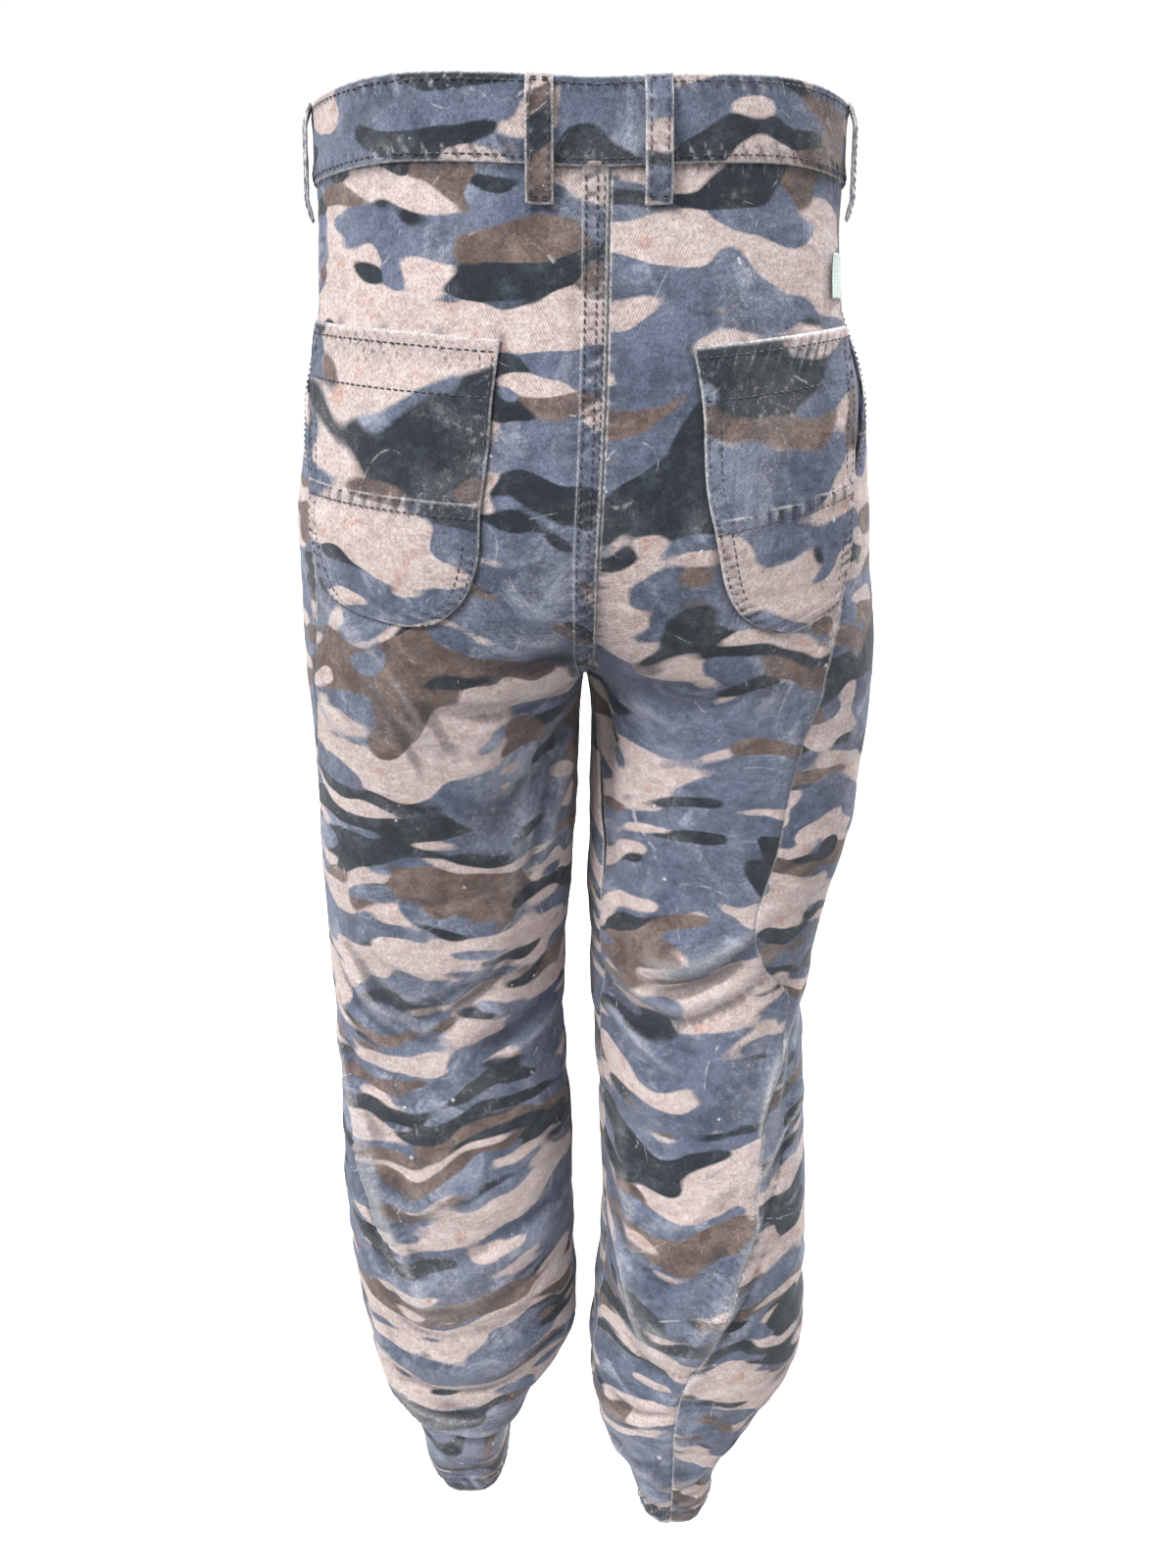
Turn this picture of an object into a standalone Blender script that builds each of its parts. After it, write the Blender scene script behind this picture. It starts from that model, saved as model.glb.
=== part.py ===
"""A pair of loose, camouflage-print twill jeans, filled out as when worn and empty inside.

The front faces -Y and the back +Y, +X is the wearer's left, +Z is up, in metres.
The origin is the centre of the waist opening, halfway up the waistband.
Every cut piece is a wall of its own, with a sewing gap between neighbours:
two fronts, two backs, waistband, hip pieces of the front pockets, fly underlap,
back patch pockets, belt loops, side label and waist button.

Each leg is a stack of horizontal ovals. Above the crotch the ovals run past the
centre plane and are cut by it, which draws the rise; below it they are whole.
"""

import math

import bmesh
import bpy
import numpy as np

# ---- driving sizes, in metres --------------------------------------------
CLOTH = 0.0020  # wall of a panel
BAND_WALL = 0.0028  # waistband, two plies and their turnings
SEAM_GAP = 0.0003  # between two pieces that are sewn together
BAND_TOP = 0.0195
BAND_FOOT = -0.0195
BAND_PROUD = 0.0010  # the band stands this far out from the panels
CROTCH = -0.303
POCKET_WALL = 0.0015
LOOP_WIDTH = 0.0135
LOOP_WALL = 0.0016
LOOP_TOP, LOOP_FOOT = 0.0195, -0.0375
LOOP_SLACK = 0.0030  # room for a belt behind a loop
BUTTON_RADIUS = 0.0085
MOUTH_REACH = 0.070  # front pocket mouth: from the side seam, along the waist
MOUTH_FOOT = -0.173
TUCK = 0.008  # how far the hip piece runs on behind the front panel
LAYER_GAP = 0.0006  # clearance of a piece that lies on or behind a faceted panel
HEM_DEPTH = 0.016
HEM_PROUD = 0.0006
FLY_DEPTH = -0.165
PANEL_COLUMNS = 11

# ---- leg sections: height, centre, half widths outward and inward, then the
# centre line's place fore and aft, half depths back and front, and squareness
SECTION = ("z", "cx", "out", "inn", "cy", "back", "front", "power")
LEFT_LEG = (
    (0.022, 0.000, 0.146, 0.147, 0.000, 0.103, 0.100, 2.25),
    (-0.020, 0.000, 0.148, 0.149, 0.002, 0.106, 0.102, 2.25),
    (-0.080, 0.002, 0.152, 0.156, 0.004, 0.116, 0.106, 2.25),
    (-0.140, 0.006, 0.158, 0.152, 0.006, 0.126, 0.110, 2.25),
    (-0.190, 0.018, 0.155, 0.140, 0.006, 0.130, 0.112, 2.25),
    (-0.235, 0.040, 0.136, 0.118, 0.005, 0.124, 0.112, 2.2),
    (-0.275, 0.069, 0.109, 0.101, 0.003, 0.115, 0.110, 2.2),
    (-0.303, 0.090, 0.089, 0.090, 0.000, 0.107, 0.107, 2.2),
    (-0.345, 0.092, 0.087, 0.089, -0.003, 0.100, 0.104, 2.2),
    (-0.400, 0.094, 0.087, 0.089, -0.006, 0.094, 0.101, 2.2),
    (-0.480, 0.097, 0.086, 0.086, -0.009, 0.088, 0.095, 2.2),
    (-0.560, 0.100, 0.084, 0.084, -0.010, 0.083, 0.090, 2.2),
    (-0.640, 0.099, 0.087, 0.086, -0.006, 0.084, 0.084, 2.2),
    (-0.720, 0.099, 0.089, 0.089, 0.000, 0.086, 0.080, 2.2),
    (-0.790, 0.098, 0.087, 0.088, 0.003, 0.085, 0.078, 2.2),
    (-0.840, 0.098, 0.084, 0.091, 0.003, 0.082, 0.077, 2.2),
    (-0.875, 0.100, 0.079, 0.089, 0.002, 0.078, 0.075, 2.2),
    (-0.905, 0.104, 0.066, 0.076, 0.001, 0.074, 0.074, 2.2),
    (-0.935, 0.105, 0.049, 0.056, 0.000, 0.070, 0.074, 2.3),
    (-0.965, 0.104, 0.039, 0.041, -0.001, 0.066, 0.075, 2.6),
    (-0.995, 0.103, 0.035, 0.036, -0.003, 0.062, 0.077, 3.0),
    (-1.024, 0.102, 0.033, 0.034, -0.005, 0.061, 0.078, 3.0),
)
RIGHT_LEG = (
    (0.022, 0.000, 0.144, 0.147, 0.000, 0.103, 0.100, 2.25),
    (-0.020, 0.000, 0.145, 0.149, 0.002, 0.106, 0.102, 2.25),
    (-0.080, 0.002, 0.149, 0.156, 0.004, 0.116, 0.106, 2.25),
    (-0.140, 0.006, 0.161, 0.152, 0.006, 0.126, 0.110, 2.25),
    (-0.190, 0.018, 0.155, 0.140, 0.006, 0.130, 0.112, 2.25),
    (-0.235, 0.040, 0.139, 0.118, 0.005, 0.124, 0.112, 2.2),
    (-0.275, 0.069, 0.117, 0.101, 0.003, 0.115, 0.110, 2.2),
    (-0.303, 0.091, 0.096, 0.091, 0.002, 0.107, 0.107, 2.2),
    (-0.345, 0.096, 0.091, 0.091, 0.002, 0.101, 0.104, 2.2),
    (-0.400, 0.096, 0.088, 0.092, 0.003, 0.096, 0.101, 2.2),
    (-0.480, 0.088, 0.080, 0.085, 0.005, 0.090, 0.095, 2.2),
    (-0.560, 0.085, 0.074, 0.079, 0.009, 0.085, 0.090, 2.2),
    (-0.640, 0.089, 0.076, 0.078, 0.015, 0.085, 0.085, 2.2),
    (-0.720, 0.092, 0.079, 0.079, 0.021, 0.086, 0.081, 2.2),
    (-0.790, 0.094, 0.080, 0.083, 0.026, 0.084, 0.079, 2.2),
    (-0.840, 0.094, 0.084, 0.088, 0.028, 0.081, 0.077, 2.2),
    (-0.875, 0.092, 0.081, 0.088, 0.029, 0.078, 0.076, 2.2),
    (-0.905, 0.088, 0.070, 0.084, 0.030, 0.074, 0.075, 2.2),
    (-0.940, 0.083, 0.053, 0.070, 0.030, 0.070, 0.074, 2.3),
    (-0.975, 0.078, 0.039, 0.049, 0.029, 0.065, 0.075, 2.6),
    (-1.008, 0.075, 0.032, 0.036, 0.028, 0.060, 0.077, 3.0),
    (-1.040, 0.073, 0.029, 0.029, 0.026, 0.058, 0.078, 3.0),
)
LEGS = {1: np.array(LEFT_LEG), -1: np.array(RIGHT_LEG)}

# ---- seams: height, then angles in degrees from the side towards the back
SEAMS = ("z", "outseam", "inseam")
LEFT_SEAMS = (
    (0.022, 12, 180),
    (-0.045, 15, 180),
    (-0.095, 20, 180),
    (-0.140, 24, 180),
    (-0.200, 30, 180),
    (-0.290, 33, 180),
    (-0.303, 33, 180),
    (-0.340, 25, 176),
    (-0.400, 15, 172),
    (-0.500, 10, 170),
    (-1.024, 10, 170),
)
RIGHT_SEAMS = (
    (0.022, 18, 180),
    (-0.045, 23, 180),
    (-0.095, 28, 180),
    (-0.140, 33, 180),
    (-0.200, 38, 180),
    (-0.240, 44, 180),
    (-0.290, 60, 180),
    (-0.303, 64, 180),
    (-0.330, 71, 171),
    (-0.390, 76, 160),
    (-0.450, 80, 156),
    (-0.485, 72, 157),
    (-0.525, 50, 160),
    (-0.560, 53, 163),
    (-0.600, 63, 165),
    (-0.650, 69, 166),
    (-0.700, 71, 168),
    (-0.745, 82, 168),
    (-0.805, 94, 168),
    (-0.870, 106, 168),
    (-0.940, 104, 168),
    (-1.040, 100, 168),
)
SEAM_ANGLES = {1: np.array(LEFT_SEAMS, float), -1: np.array(RIGHT_SEAMS, float)}

# ---- where the two backs and the two fronts meet, in x: the left one laps over
CENTRE_BACK = ((0.022, -0.008), (-0.100, -0.005), (-0.150, -0.003), (-0.220, 0.0), (-0.303, 0.0))
CENTRE_FRONT = ((0.022, -0.005), (-0.150, -0.005), (-0.190, 0.0), (-0.303, 0.0))
LAP_WIDTH = 0.013
LAP_PROUD = 0.0013

# ---- the waist edge: angle from the side (90 centre back, -90 centre front), rise
WAIST_LINE = ((-90, -0.015), (-50, -0.011), (0, -0.005), (25, -0.002), (52, 0.0025), (90, -0.001))

# ---- the largest folds: leg, then three points of its line as distance round
# the leg from the side and height, its relief (out is positive) and half width, in mm
FOLDS = (
    # leg, s0, z0, s1, z1, s2, z2, relief, half_width
    (1, 102, -262, 122, -272, 142, -317, 4.0, 9),
    (1, 108, -262, 132, -275, 160, -330, -3.0, 12),
    (1, 190, -273, 215, -275, 240, -267, -4.0, 9),
    (1, 262, -332, 222, -340, 192, -382, -8.0, 15),
    (1, 60, -483, 105, -560, 150, -499, -4.5, 14),
    (1, 150, -562, 185, -560, 222, -532, -3.5, 13),
    (1, 38, -581, 80, -690, 112, -770, 5.0, 11),
    (1, 112, -770, 170, -722, 245, -735, 3.5, 16),
    (1, 55, -805, 66, -835, 62, -880, 3.0, 9),
    (1, 60, -842, 120, -866, 215, -832, 3.5, 15),
    (1, 62, -884, 110, -935, 156, -912, 5.5, 13),
    (1, 60, -915, 110, -955, 150, -940, -4.0, 10),
    (1, -40, -470, -100, -505, -160, -480, -4.0, 15),
    (1, -60, -610, -120, -640, -180, -600, 4.0, 15),
    (1, -30, -300, -80, -285, -150, -262, -3.5, 13),
    (1, -40, -850, -110, -880, -180, -850, 4.0, 15),
    (1, -40, -915, -100, -940, -150, -915, -4.0, 13),
    (-1, 278, -297, 265, -360, 240, -443, -4.0, 12),
    (-1, 188, -505, 152, -520, 120, -465, -5.0, 12),
    (-1, 190, -485, 152, -495, 120, -445, 4.0, 12),
    (-1, 222, -530, 175, -520, 143, -556, -3.0, 9),
    (-1, 66, -531, 86, -580, 102, -651, 2.5, 14),
    (-1, 50, -615, 110, -690, 159, -871, 3.5, 15),
    (-1, 199, -600, 212, -700, 165, -840, 3.5, 12),
    (-1, 217, -900, 165, -925, 128, -960, 4.0, 12),
    (-1, 128, -968, 98, -995, 76, -965, 4.5, 9),
    (-1, 105, -1018, 85, -1008, 64, -1003, -2.5, 7),
    (-1, -40, -480, -100, -515, -160, -490, -4.0, 15),
    (-1, -60, -620, -120, -650, -180, -610, 4.0, 15),
    (-1, -30, -310, -80, -290, -150, -266, -3.5, 13),
    (-1, -40, -860, -110, -890, -180, -860, 4.0, 15),
    (-1, -40, -930, -100, -955, -150, -930, -4.0, 13),
)

# ---- patch pockets, one row per line across: outer point and inner point, each
# as distance round from the side and height, in mm
LEFT_POCKET = (
    # s_out, z_out, s_in, z_in
    (42, -90, 175, -98),
    (52, -130, 180, -136),
    (64, -172, 184, -177),
    (71, -200, 187, -199),
    (76, -216, 183, -216),
    (83, -228, 175, -230),
    (95, -236, 158, -243),
)
RIGHT_POCKET = (
    (54, -93, 175, -102),
    (72, -130, 182, -138),
    (83, -172, 187, -177),
    (90, -205, 184, -205),
    (94, -224, 179, -226),
    (99, -236, 169, -242),
    (108, -242, 152, -251),
)

COLOURS = {
    "camo_twill": ((0.30, 0.33, 0.40), 0.92, 0.0),
    "label_weave": ((0.62, 0.74, 0.66), 0.85, 0.0),
    "antique_metal": ((0.30, 0.22, 0.16), 0.42, 0.9),
}
COLLECTION = "jeans"


# ---- shape ----------------------------------------------------------------
def between(table, z):
    """Every column of a table at heights z, by monotone cubic pieces."""
    rows = np.asarray(table, float)[::-1]
    zz, value = rows[:, 0], rows[:, 1:]
    step = np.diff(zz)
    slope = np.diff(value, axis=0) / step[:, None]
    tangent = np.empty_like(value)
    tangent[0], tangent[-1] = slope[0], slope[-1]
    before, after = slope[:-1], slope[1:]
    w1 = (2 * step[1:] + step[:-1])[:, None]
    w2 = (step[1:] + 2 * step[:-1])[:, None]
    same = before * after > 0
    safe_before = np.where(same, before, 1.0)
    safe_after = np.where(same, after, 1.0)
    tangent[1:-1] = np.where(same, (w1 + w2) / (w1 / safe_before + w2 / safe_after), 0)
    z = np.clip(np.asarray(z, float), zz[0], zz[-1])
    i = np.clip(np.searchsorted(zz, z, side="right") - 1, 0, len(step) - 1)
    t = ((z - zz[i]) / step[i])[..., None]
    h = step[i][..., None]
    return (
        (1 + 2 * t) * (1 - t) ** 2 * value[i]
        + t * (1 - t) ** 2 * h * tangent[i]
        + t * t * (3 - 2 * t) * value[i + 1]
        + t * t * (t - 1) * h * tangent[i + 1]
    )


def smooth(low, high, value):
    t = np.clip((np.asarray(value, float) - low) / (high - low), 0, 1)
    return t * t * (3 - 2 * t)


def oval(side, angle, z):
    """Point of the leg's section at an angle from its outer side, back positive."""
    c = between(LEGS[side], z)
    cx, out, inn, cy, back, front, power = (c[..., k] for k in range(7))
    co, si = np.cos(angle), np.sin(angle)
    reach = (np.abs(co) ** power + np.abs(si) ** power) ** (-1 / power)
    x = cx + np.where(co > 0, out, inn) * co * reach
    y = cy + np.where(si > 0, back, front) * si * reach
    return np.stack([side * x, y, np.broadcast_to(z, x.shape) + 0.0], -1)


def outward(side, angle, z):
    e = 1e-3
    around = oval(side, angle + e, z) - oval(side, angle - e, z)
    down = oval(side, angle, z - e) - oval(side, angle, z + e)
    n = np.cross(down, around) * side
    return n / np.linalg.norm(n, axis=-1, keepdims=True)


def girth_scale(side, z, lowest=-2 * math.pi, highest=math.pi, count=721):
    """Angles and the distance round from the side at each, at one height."""
    angle = np.linspace(lowest, highest, count)
    p = oval(side, angle, np.full(count, z))
    s = np.concatenate([[0], np.cumsum(np.linalg.norm(np.diff(p, axis=0), axis=1))])
    return angle, s - np.interp(0.0, angle, s)


def fold_relief(side, s, z, girth):
    """Sum of the folds at distance s and height z, in metres."""
    total = np.zeros(np.shape(s))
    t = np.linspace(0, 1, 25)
    for leg, s0, z0, s1, z1, s2, z2, relief, half_width in FOLDS:
        if leg != side:
            continue
        fs = ((1 - t) ** 2 * s0 + 2 * t * (1 - t) * s1 + t * t * s2) / 1000
        fz = ((1 - t) ** 2 * z0 + 2 * t * (1 - t) * z1 + t * t * z2) / 1000
        end = np.sin(np.pi * np.clip(0.06 + 0.88 * t, 0, 1)) ** 0.6
        wraps = (0.0, girth, -girth) if z0 / 1000 < CROTCH and z2 / 1000 < CROTCH else (0.0,)
        for shift in wraps:
            d2 = (np.asarray(s)[..., None] - fs - shift) ** 2 + (np.asarray(z)[..., None] - fz) ** 2
            total += relief / 1000 * (np.exp(-d2 / (half_width / 1000) ** 2) * end).max(axis=-1)
    return total


def waist_rise(side, angle, z):
    """The waist edge's rise and dip, fading out below the band."""
    degrees = np.degrees(np.clip(angle, -math.pi / 2, math.pi / 2))
    line = np.array(WAIST_LINE)
    rise = between(line[::-1], degrees)[..., 0]
    return rise * smooth(-0.13, -0.02, z)


def cut_angles(side, z):
    """Angles at which the back and the front panel end at the centre or the inseam."""
    inseam = math.radians(float(between(SEAM_ANGLES[side], np.array([z]))[0, 1]))
    ends = []
    for back, line in ((True, CENTRE_BACK), (False, CENTRE_FRONT)):
        plane = side * float(between(line, np.array([z]))[0, 0])
        full = np.linspace(0, math.pi, 2001) * (1 if back else -1)
        x = side * oval(side, full, np.full(full.shape, z))[:, 0]
        crossed = x < plane + 1e-9
        if z > CROTCH + 1e-6 and crossed.any():
            i = int(np.argmax(crossed))
            f = (x[i - 1] - plane) / (x[i - 1] - x[i])
            ends.append(float(full[i - 1] + f * (full[i] - full[i - 1])))
        else:
            ends.append(inseam if back else inseam - 2 * math.pi)
    return ends


def outseam_angle(side, z):
    return math.radians(float(between(SEAM_ANGLES[side], np.array([z]))[0, 0]))


def mouth_width(z):
    """Distance from the side seam to the front pocket's mouth."""
    t = np.clip((BAND_FOOT - np.asarray(z)) / (BAND_FOOT - MOUTH_FOOT), 0, 1)
    return MOUTH_REACH * (1 - t**1.6)


class Row:
    """One height of one leg: turns distances round the leg into angles."""

    def __init__(self, side, z):
        self.side, self.z = side, z
        self.angle, self.s = girth_scale(side, z)
        self.girth = float(
            np.interp(math.pi, self.angle, self.s) - np.interp(-math.pi, self.angle, self.s)
        )
        self.back_end, self.front_end = (
            float(np.interp(a, self.angle, self.s)) for a in cut_angles(side, z)
        )
        self.outseam = float(np.interp(outseam_angle(side, z), self.angle, self.s))

    def points(self, s, out=0.0, folds=True):
        s = np.asarray(s, float)
        angle = np.interp(s, self.s, self.angle)
        z = np.full(s.shape, self.z)
        base = oval(self.side, angle, z)
        n = outward(self.side, angle, z)
        lift = np.zeros(s.shape) + out
        if folds:
            calm = smooth(0.0, 0.02, self.back_end - s) if self.z > CROTCH + 0.004 else 1.0
            lift = lift + fold_relief(self.side, s, z, self.girth) * calm
        base = base + n * lift[..., None]
        base[..., 2] += waist_rise(self.side, angle, z)
        return base


def row_at(side, z, cache={}):
    key = (side, round(z, 6))
    if key not in cache:
        cache[key] = Row(side, z)
    return cache[key]


def spread(start, end, count, edge=0.003):
    """Distances from start to end, with a narrow column beside each seam."""
    sign = 1 if end > start else -1
    edge = min(edge, abs(end - start) / (count + 2))
    inner = np.linspace(start + sign * edge, end - sign * edge, count - 1)
    return np.concatenate([[start], inner, [end]])


def panel_heights():
    """Heights of a panel's rows: closer at the crotch, the knee and the stack."""
    marks = (
        # top, foot, rows
        (BAND_FOOT - SEAM_GAP, -0.160, 5),
        (-0.160, -0.250, 3),
        (-0.250, CROTCH + 0.006, 3),
        (CROTCH + 0.006, CROTCH - 0.012, 3),
        (CROTCH - 0.012, -0.460, 5),
        (-0.460, -0.580, 4),
        (-0.580, -0.820, 6),
    )
    heights = []
    for top, foot, rows in marks:
        heights += list(np.linspace(top, foot, rows, endpoint=False))
    return heights


def side_heights(side):
    foot = LEGS[side][-1, 0]
    low = list(np.linspace(-0.820, foot + HEM_DEPTH + 0.001, 8))
    return panel_heights() + low + [foot + HEM_DEPTH - 0.001, foot]


# ---- objects --------------------------------------------------------------
def material(name):
    found = bpy.data.materials.get(name)
    if found:
        return found
    colour, roughness, metallic = COLOURS[name]
    made = bpy.data.materials.new(name)
    made.use_nodes = True
    shader = made.node_tree.nodes["Principled BSDF"]
    shader.inputs["Base Color"].default_value = (*colour, 1)
    shader.inputs["Roughness"].default_value = roughness
    shader.inputs["Metallic"].default_value = metallic
    made.diffuse_color = (*colour, 1)
    return made


def place(obj, material_name):
    base = material(material_name)
    own = base.copy()
    own.name = f"{material_name}_{obj.name}"
    obj.data.materials.append(own)
    bpy.data.collections[COLLECTION].objects.link(obj)
    return obj


def lofted(name, rows, wall, material_name, outside=1):
    """An open sheet through rows of points, given a wall on its inner side."""
    mesh = bpy.data.meshes.new(name)
    build = bmesh.new()
    grid = [[build.verts.new(p) for p in row] for row in rows]
    for above, below in zip(grid, grid[1:]):
        for k in range(len(above) - 1):
            corners = [above[k], above[k + 1], below[k + 1], below[k]]
            build.faces.new(corners[::-1] if outside > 0 else corners)
    build.normal_update()
    build.to_mesh(mesh)
    build.free()
    mesh.shade_smooth()
    obj = bpy.data.objects.new(name, mesh)
    shell = obj.modifiers.new("Wall", "SOLIDIFY")
    shell.thickness = wall
    shell.offset = -1
    shell.use_rim = True
    return place(obj, material_name)


def lap(distance):
    """Relief of the lapped seam at a distance from its edge."""
    return LAP_PROUD * (1 - smooth(LAP_WIDTH - 0.002, LAP_WIDTH + 0.002, distance))


def back_panel(name, side):
    rows = []
    for z in side_heights(side):
        row = row_at(side, z)
        half = SEAM_GAP / 2
        if side > 0:
            near = spread(row.outseam + half, row.back_end - half - LAP_WIDTH - 0.002, PANEL_COLUMNS - 2)
            s = np.concatenate([near, [row.back_end - half - LAP_WIDTH + 0.002, row.back_end - half - 0.003, row.back_end - half]])
            out = lap(row.back_end - half - s) * smooth(CROTCH + 0.010, CROTCH + 0.035, z)
        else:
            s = spread(row.outseam + half, row.back_end - half, PANEL_COLUMNS)
            out = np.zeros(s.shape)
        if z < LEGS[side][-1, 0] + HEM_DEPTH:
            out = out + HEM_PROUD
        rows.append(row.points(s, out))
    return lofted(name, rows, CLOTH, "camo_twill", side)


def front_panel(name, side):
    rows = []
    for z in side_heights(side):
        row = row_at(side, z)
        half = SEAM_GAP / 2
        start = row.outseam - half
        if z > MOUTH_FOOT:
            start = row.outseam - float(mouth_width(z)) - half
        end = row.front_end + half
        if side > 0:
            near = spread(start, end + LAP_WIDTH + 0.002, PANEL_COLUMNS - 2)
            s = np.concatenate([near, [end + LAP_WIDTH - 0.002, end + 0.003, end]])
            out = lap(s - end) * smooth(CROTCH + 0.010, CROTCH + 0.035, z)
        else:
            s = spread(start, end, PANEL_COLUMNS)
            out = np.zeros(s.shape)
        if z < LEGS[side][-1, 0] + HEM_DEPTH:
            out = out + HEM_PROUD
        rows.append(row.points(s, out))
    return lofted(name, rows, CLOTH, "camo_twill", -side)


def hip_piece(name, side):
    """The part of the front pocket that shows between its mouth and the side seam."""
    heights = [z for z in panel_heights() if z > MOUTH_FOOT]
    following = max(z for z in panel_heights() if z < MOUTH_FOOT)
    tip = heights[-1] + 0.8 * (following - heights[-1])
    rows = []
    for z in heights + [tip]:
        row = row_at(side, float(z))
        width = float(mouth_width(z)) if z > tip else 0.2 * float(mouth_width(heights[-1]))
        tuck = (TUCK + SEAM_GAP / 2) * float(smooth(0.016, 0.022, width)) - SEAM_GAP / 2
        seam = row.outseam
        if z == tip:
            above, below = row_at(side, heights[-1]), row_at(side, following)
            seam = 0.2 * above.outseam + 0.8 * below.outseam
        start = seam - SEAM_GAP * 1.2
        end = seam - width - tuck
        near = start - 0.30 * min(start - end, 0.014)
        s = np.concatenate([[start, near], np.linspace(start - min(0.014, 0.7 * (start - end)), end, 5)])
        out = -(CLOTH + LAYER_GAP + 0.0007) * smooth(0.0, 0.014, start - s)
        rows.append(row.points(s, out))
    return lofted(name, rows, CLOTH * 0.75, "camo_twill", -side)


def fly_underlap(name):
    """Behind both fronts, from under the left one's stitching to past the centre."""
    heights = [z for z in panel_heights() if z > FLY_DEPTH]
    rows = []
    for z in heights:
        left, right = row_at(1, float(z)), row_at(-1, float(z))
        depth = -(CLOTH + LAYER_GAP)
        lean = 0.030 * (1 - 0.5 * float(smooth(-0.12, FLY_DEPTH, z)))
        middle_left = float(np.interp(-math.pi / 2, left.angle, left.s))
        a = left.points(np.linspace(middle_left + lean, middle_left + 0.004, 4), depth)
        middle_right = float(np.interp(-math.pi / 2, right.angle, right.s))
        b = right.points(np.linspace(middle_right + 0.004, middle_right + 0.014, 3), depth)
        rows.append(np.concatenate([a, b]))
    return lofted(name, rows, CLOTH * 0.75, "camo_twill", -1)


def band_point(turn, z, out):
    """Point of the waistband at a full turn angle in degrees: 0 left side, 90 back."""
    turn = (turn + 180) % 360 - 180
    side = 1 if abs(turn) <= 90 else -1
    angle = math.radians(turn if side > 0 else (180 - turn if turn > 0 else -180 - turn))
    a, h = np.array([angle]), np.array([z])
    p = oval(side, a, h)[0]
    n = outward(side, a, h)[0]
    rise = waist_rise(side, a, np.array([0.0]))[0]
    return p + n * out + np.array([0, 0, rise])


def waistband(name):
    """One strip round the waist: its left end buttons over its right end at the front."""
    first, last = 282.0, -93.5
    turns = np.concatenate([[first, first - 1.5], np.linspace(first - 6, last + 6, 46), [last + 1.5, last]])
    heights = (BAND_TOP, 0.0165, -0.0165, BAND_FOOT)
    rows = []
    for z in heights:
        edge = 0.0006 if abs(z) < 0.018 else 0.0
        row = []
        for turn in turns:
            under = 0.0022 * float(smooth(262, 272, turn))
            over = 0.0012 * float(smooth(-70, -82, turn))
            row.append(band_point(turn, z, BAND_PROUD + edge - under + over))
        rows.append(np.array(row))
    return lofted(name, rows, BAND_WALL, "camo_twill", -1)


def strap(name, turn):
    """A belt loop: sewn at its head and foot, standing off the band between them."""
    rows = []
    here = band_point(turn, 0.0, 0.0)
    ahead = band_point(turn + 0.5, 0.0, 0.0) - band_point(turn - 0.5, 0.0, 0.0)
    per_degree = float(np.linalg.norm(ahead))
    half = LOOP_WIDTH / 2 / per_degree
    base = BAND_PROUD + 0.0006 + SEAM_GAP + LOOP_WALL + 0.0003
    for z in (LOOP_TOP, 0.016, 0.010, 0.0, -0.010, -0.020, -0.028, -0.033, LOOP_FOOT):
        slack = LOOP_SLACK * float(smooth(LOOP_TOP, 0.008, z) * smooth(LOOP_FOOT, -0.026, z))
        rows.append([band_point(turn + w * half, z, base + slack) for w in (-1, 0, 1)])
    return lofted(name, rows, LOOP_WALL, "camo_twill", 1)


def patch_pocket(name, side, outline):
    """A patch on the back panel, made from the panel's own points moved out."""
    outline = np.array(outline, float) / 1000
    rows = []
    count = 9
    for s_out, z_out, s_in, z_in in outline:
        t = np.linspace(0, 1, count)
        line = []
        for k, f in enumerate(t):
            z = z_out + f * (z_in - z_out)
            s = s_out + f * (s_in - s_out)
            row = row_at(side, float(z))
            s = max(s, row.outseam + SEAM_GAP)
            line.append(row.points(np.array([s]), LAYER_GAP + POCKET_WALL + 0.0003)[0])
        rows.append(np.array(line))
    return lofted(name, rows, POCKET_WALL, "camo_twill", side)


def side_label(name):
    """A small woven label, caught in the right side seam below the waistband."""
    rows = []
    for z in np.linspace(-0.0570, -0.0800, 4):
        row = row_at(-1, float(z))
        s = row.outseam + np.array([0.0005, 0.006, 0.011, 0.016])
        rows.append(row.points(s, 0.0009 + LAYER_GAP + 0.0020 * np.array([0, 0.5, 0.9, 1.0])))
    return lofted(name, rows, 0.0009, "label_weave", -1)


def button(name):
    """A domed shank button, turned, standing off the band's left end at the front."""
    profile = (
        # radius, height
        (0.0, 0.0036),
        (0.0030, 0.0036),
        (0.0046, 0.0031),
        (0.0064, 0.0033),
        (0.0078, 0.0029),
        (BUTTON_RADIUS, 0.0018),
        (0.0080, 0.0008),
        (0.0050, 0.0004),
        (0.0032, 0.0),
        (0.0, 0.0),
    )
    mesh = bpy.data.meshes.new(name)
    mesh.from_pydata([(r, 0, h) for r, h in profile], [(i, i + 1) for i in range(len(profile) - 1)], [])
    obj = bpy.data.objects.new(name, mesh)
    turn = obj.modifiers.new("Turn", "SCREW")
    turn.axis = "Z"
    turn.angle = 2 * math.pi
    turn.steps = turn.render_steps = 18
    turn.use_merge_vertices = True
    turn.merge_threshold = 0.0001
    centre = band_point(-90 + 1.3, 0.0, 0.0)
    face = centre[1] - (BAND_PROUD + 0.0006 + 0.0012) - SEAM_GAP - 0.0003
    obj.location = (centre[0], face, centre[2])
    obj.rotation_euler = (math.pi / 2, 0, 0)
    return place(obj, "antique_metal")


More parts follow.
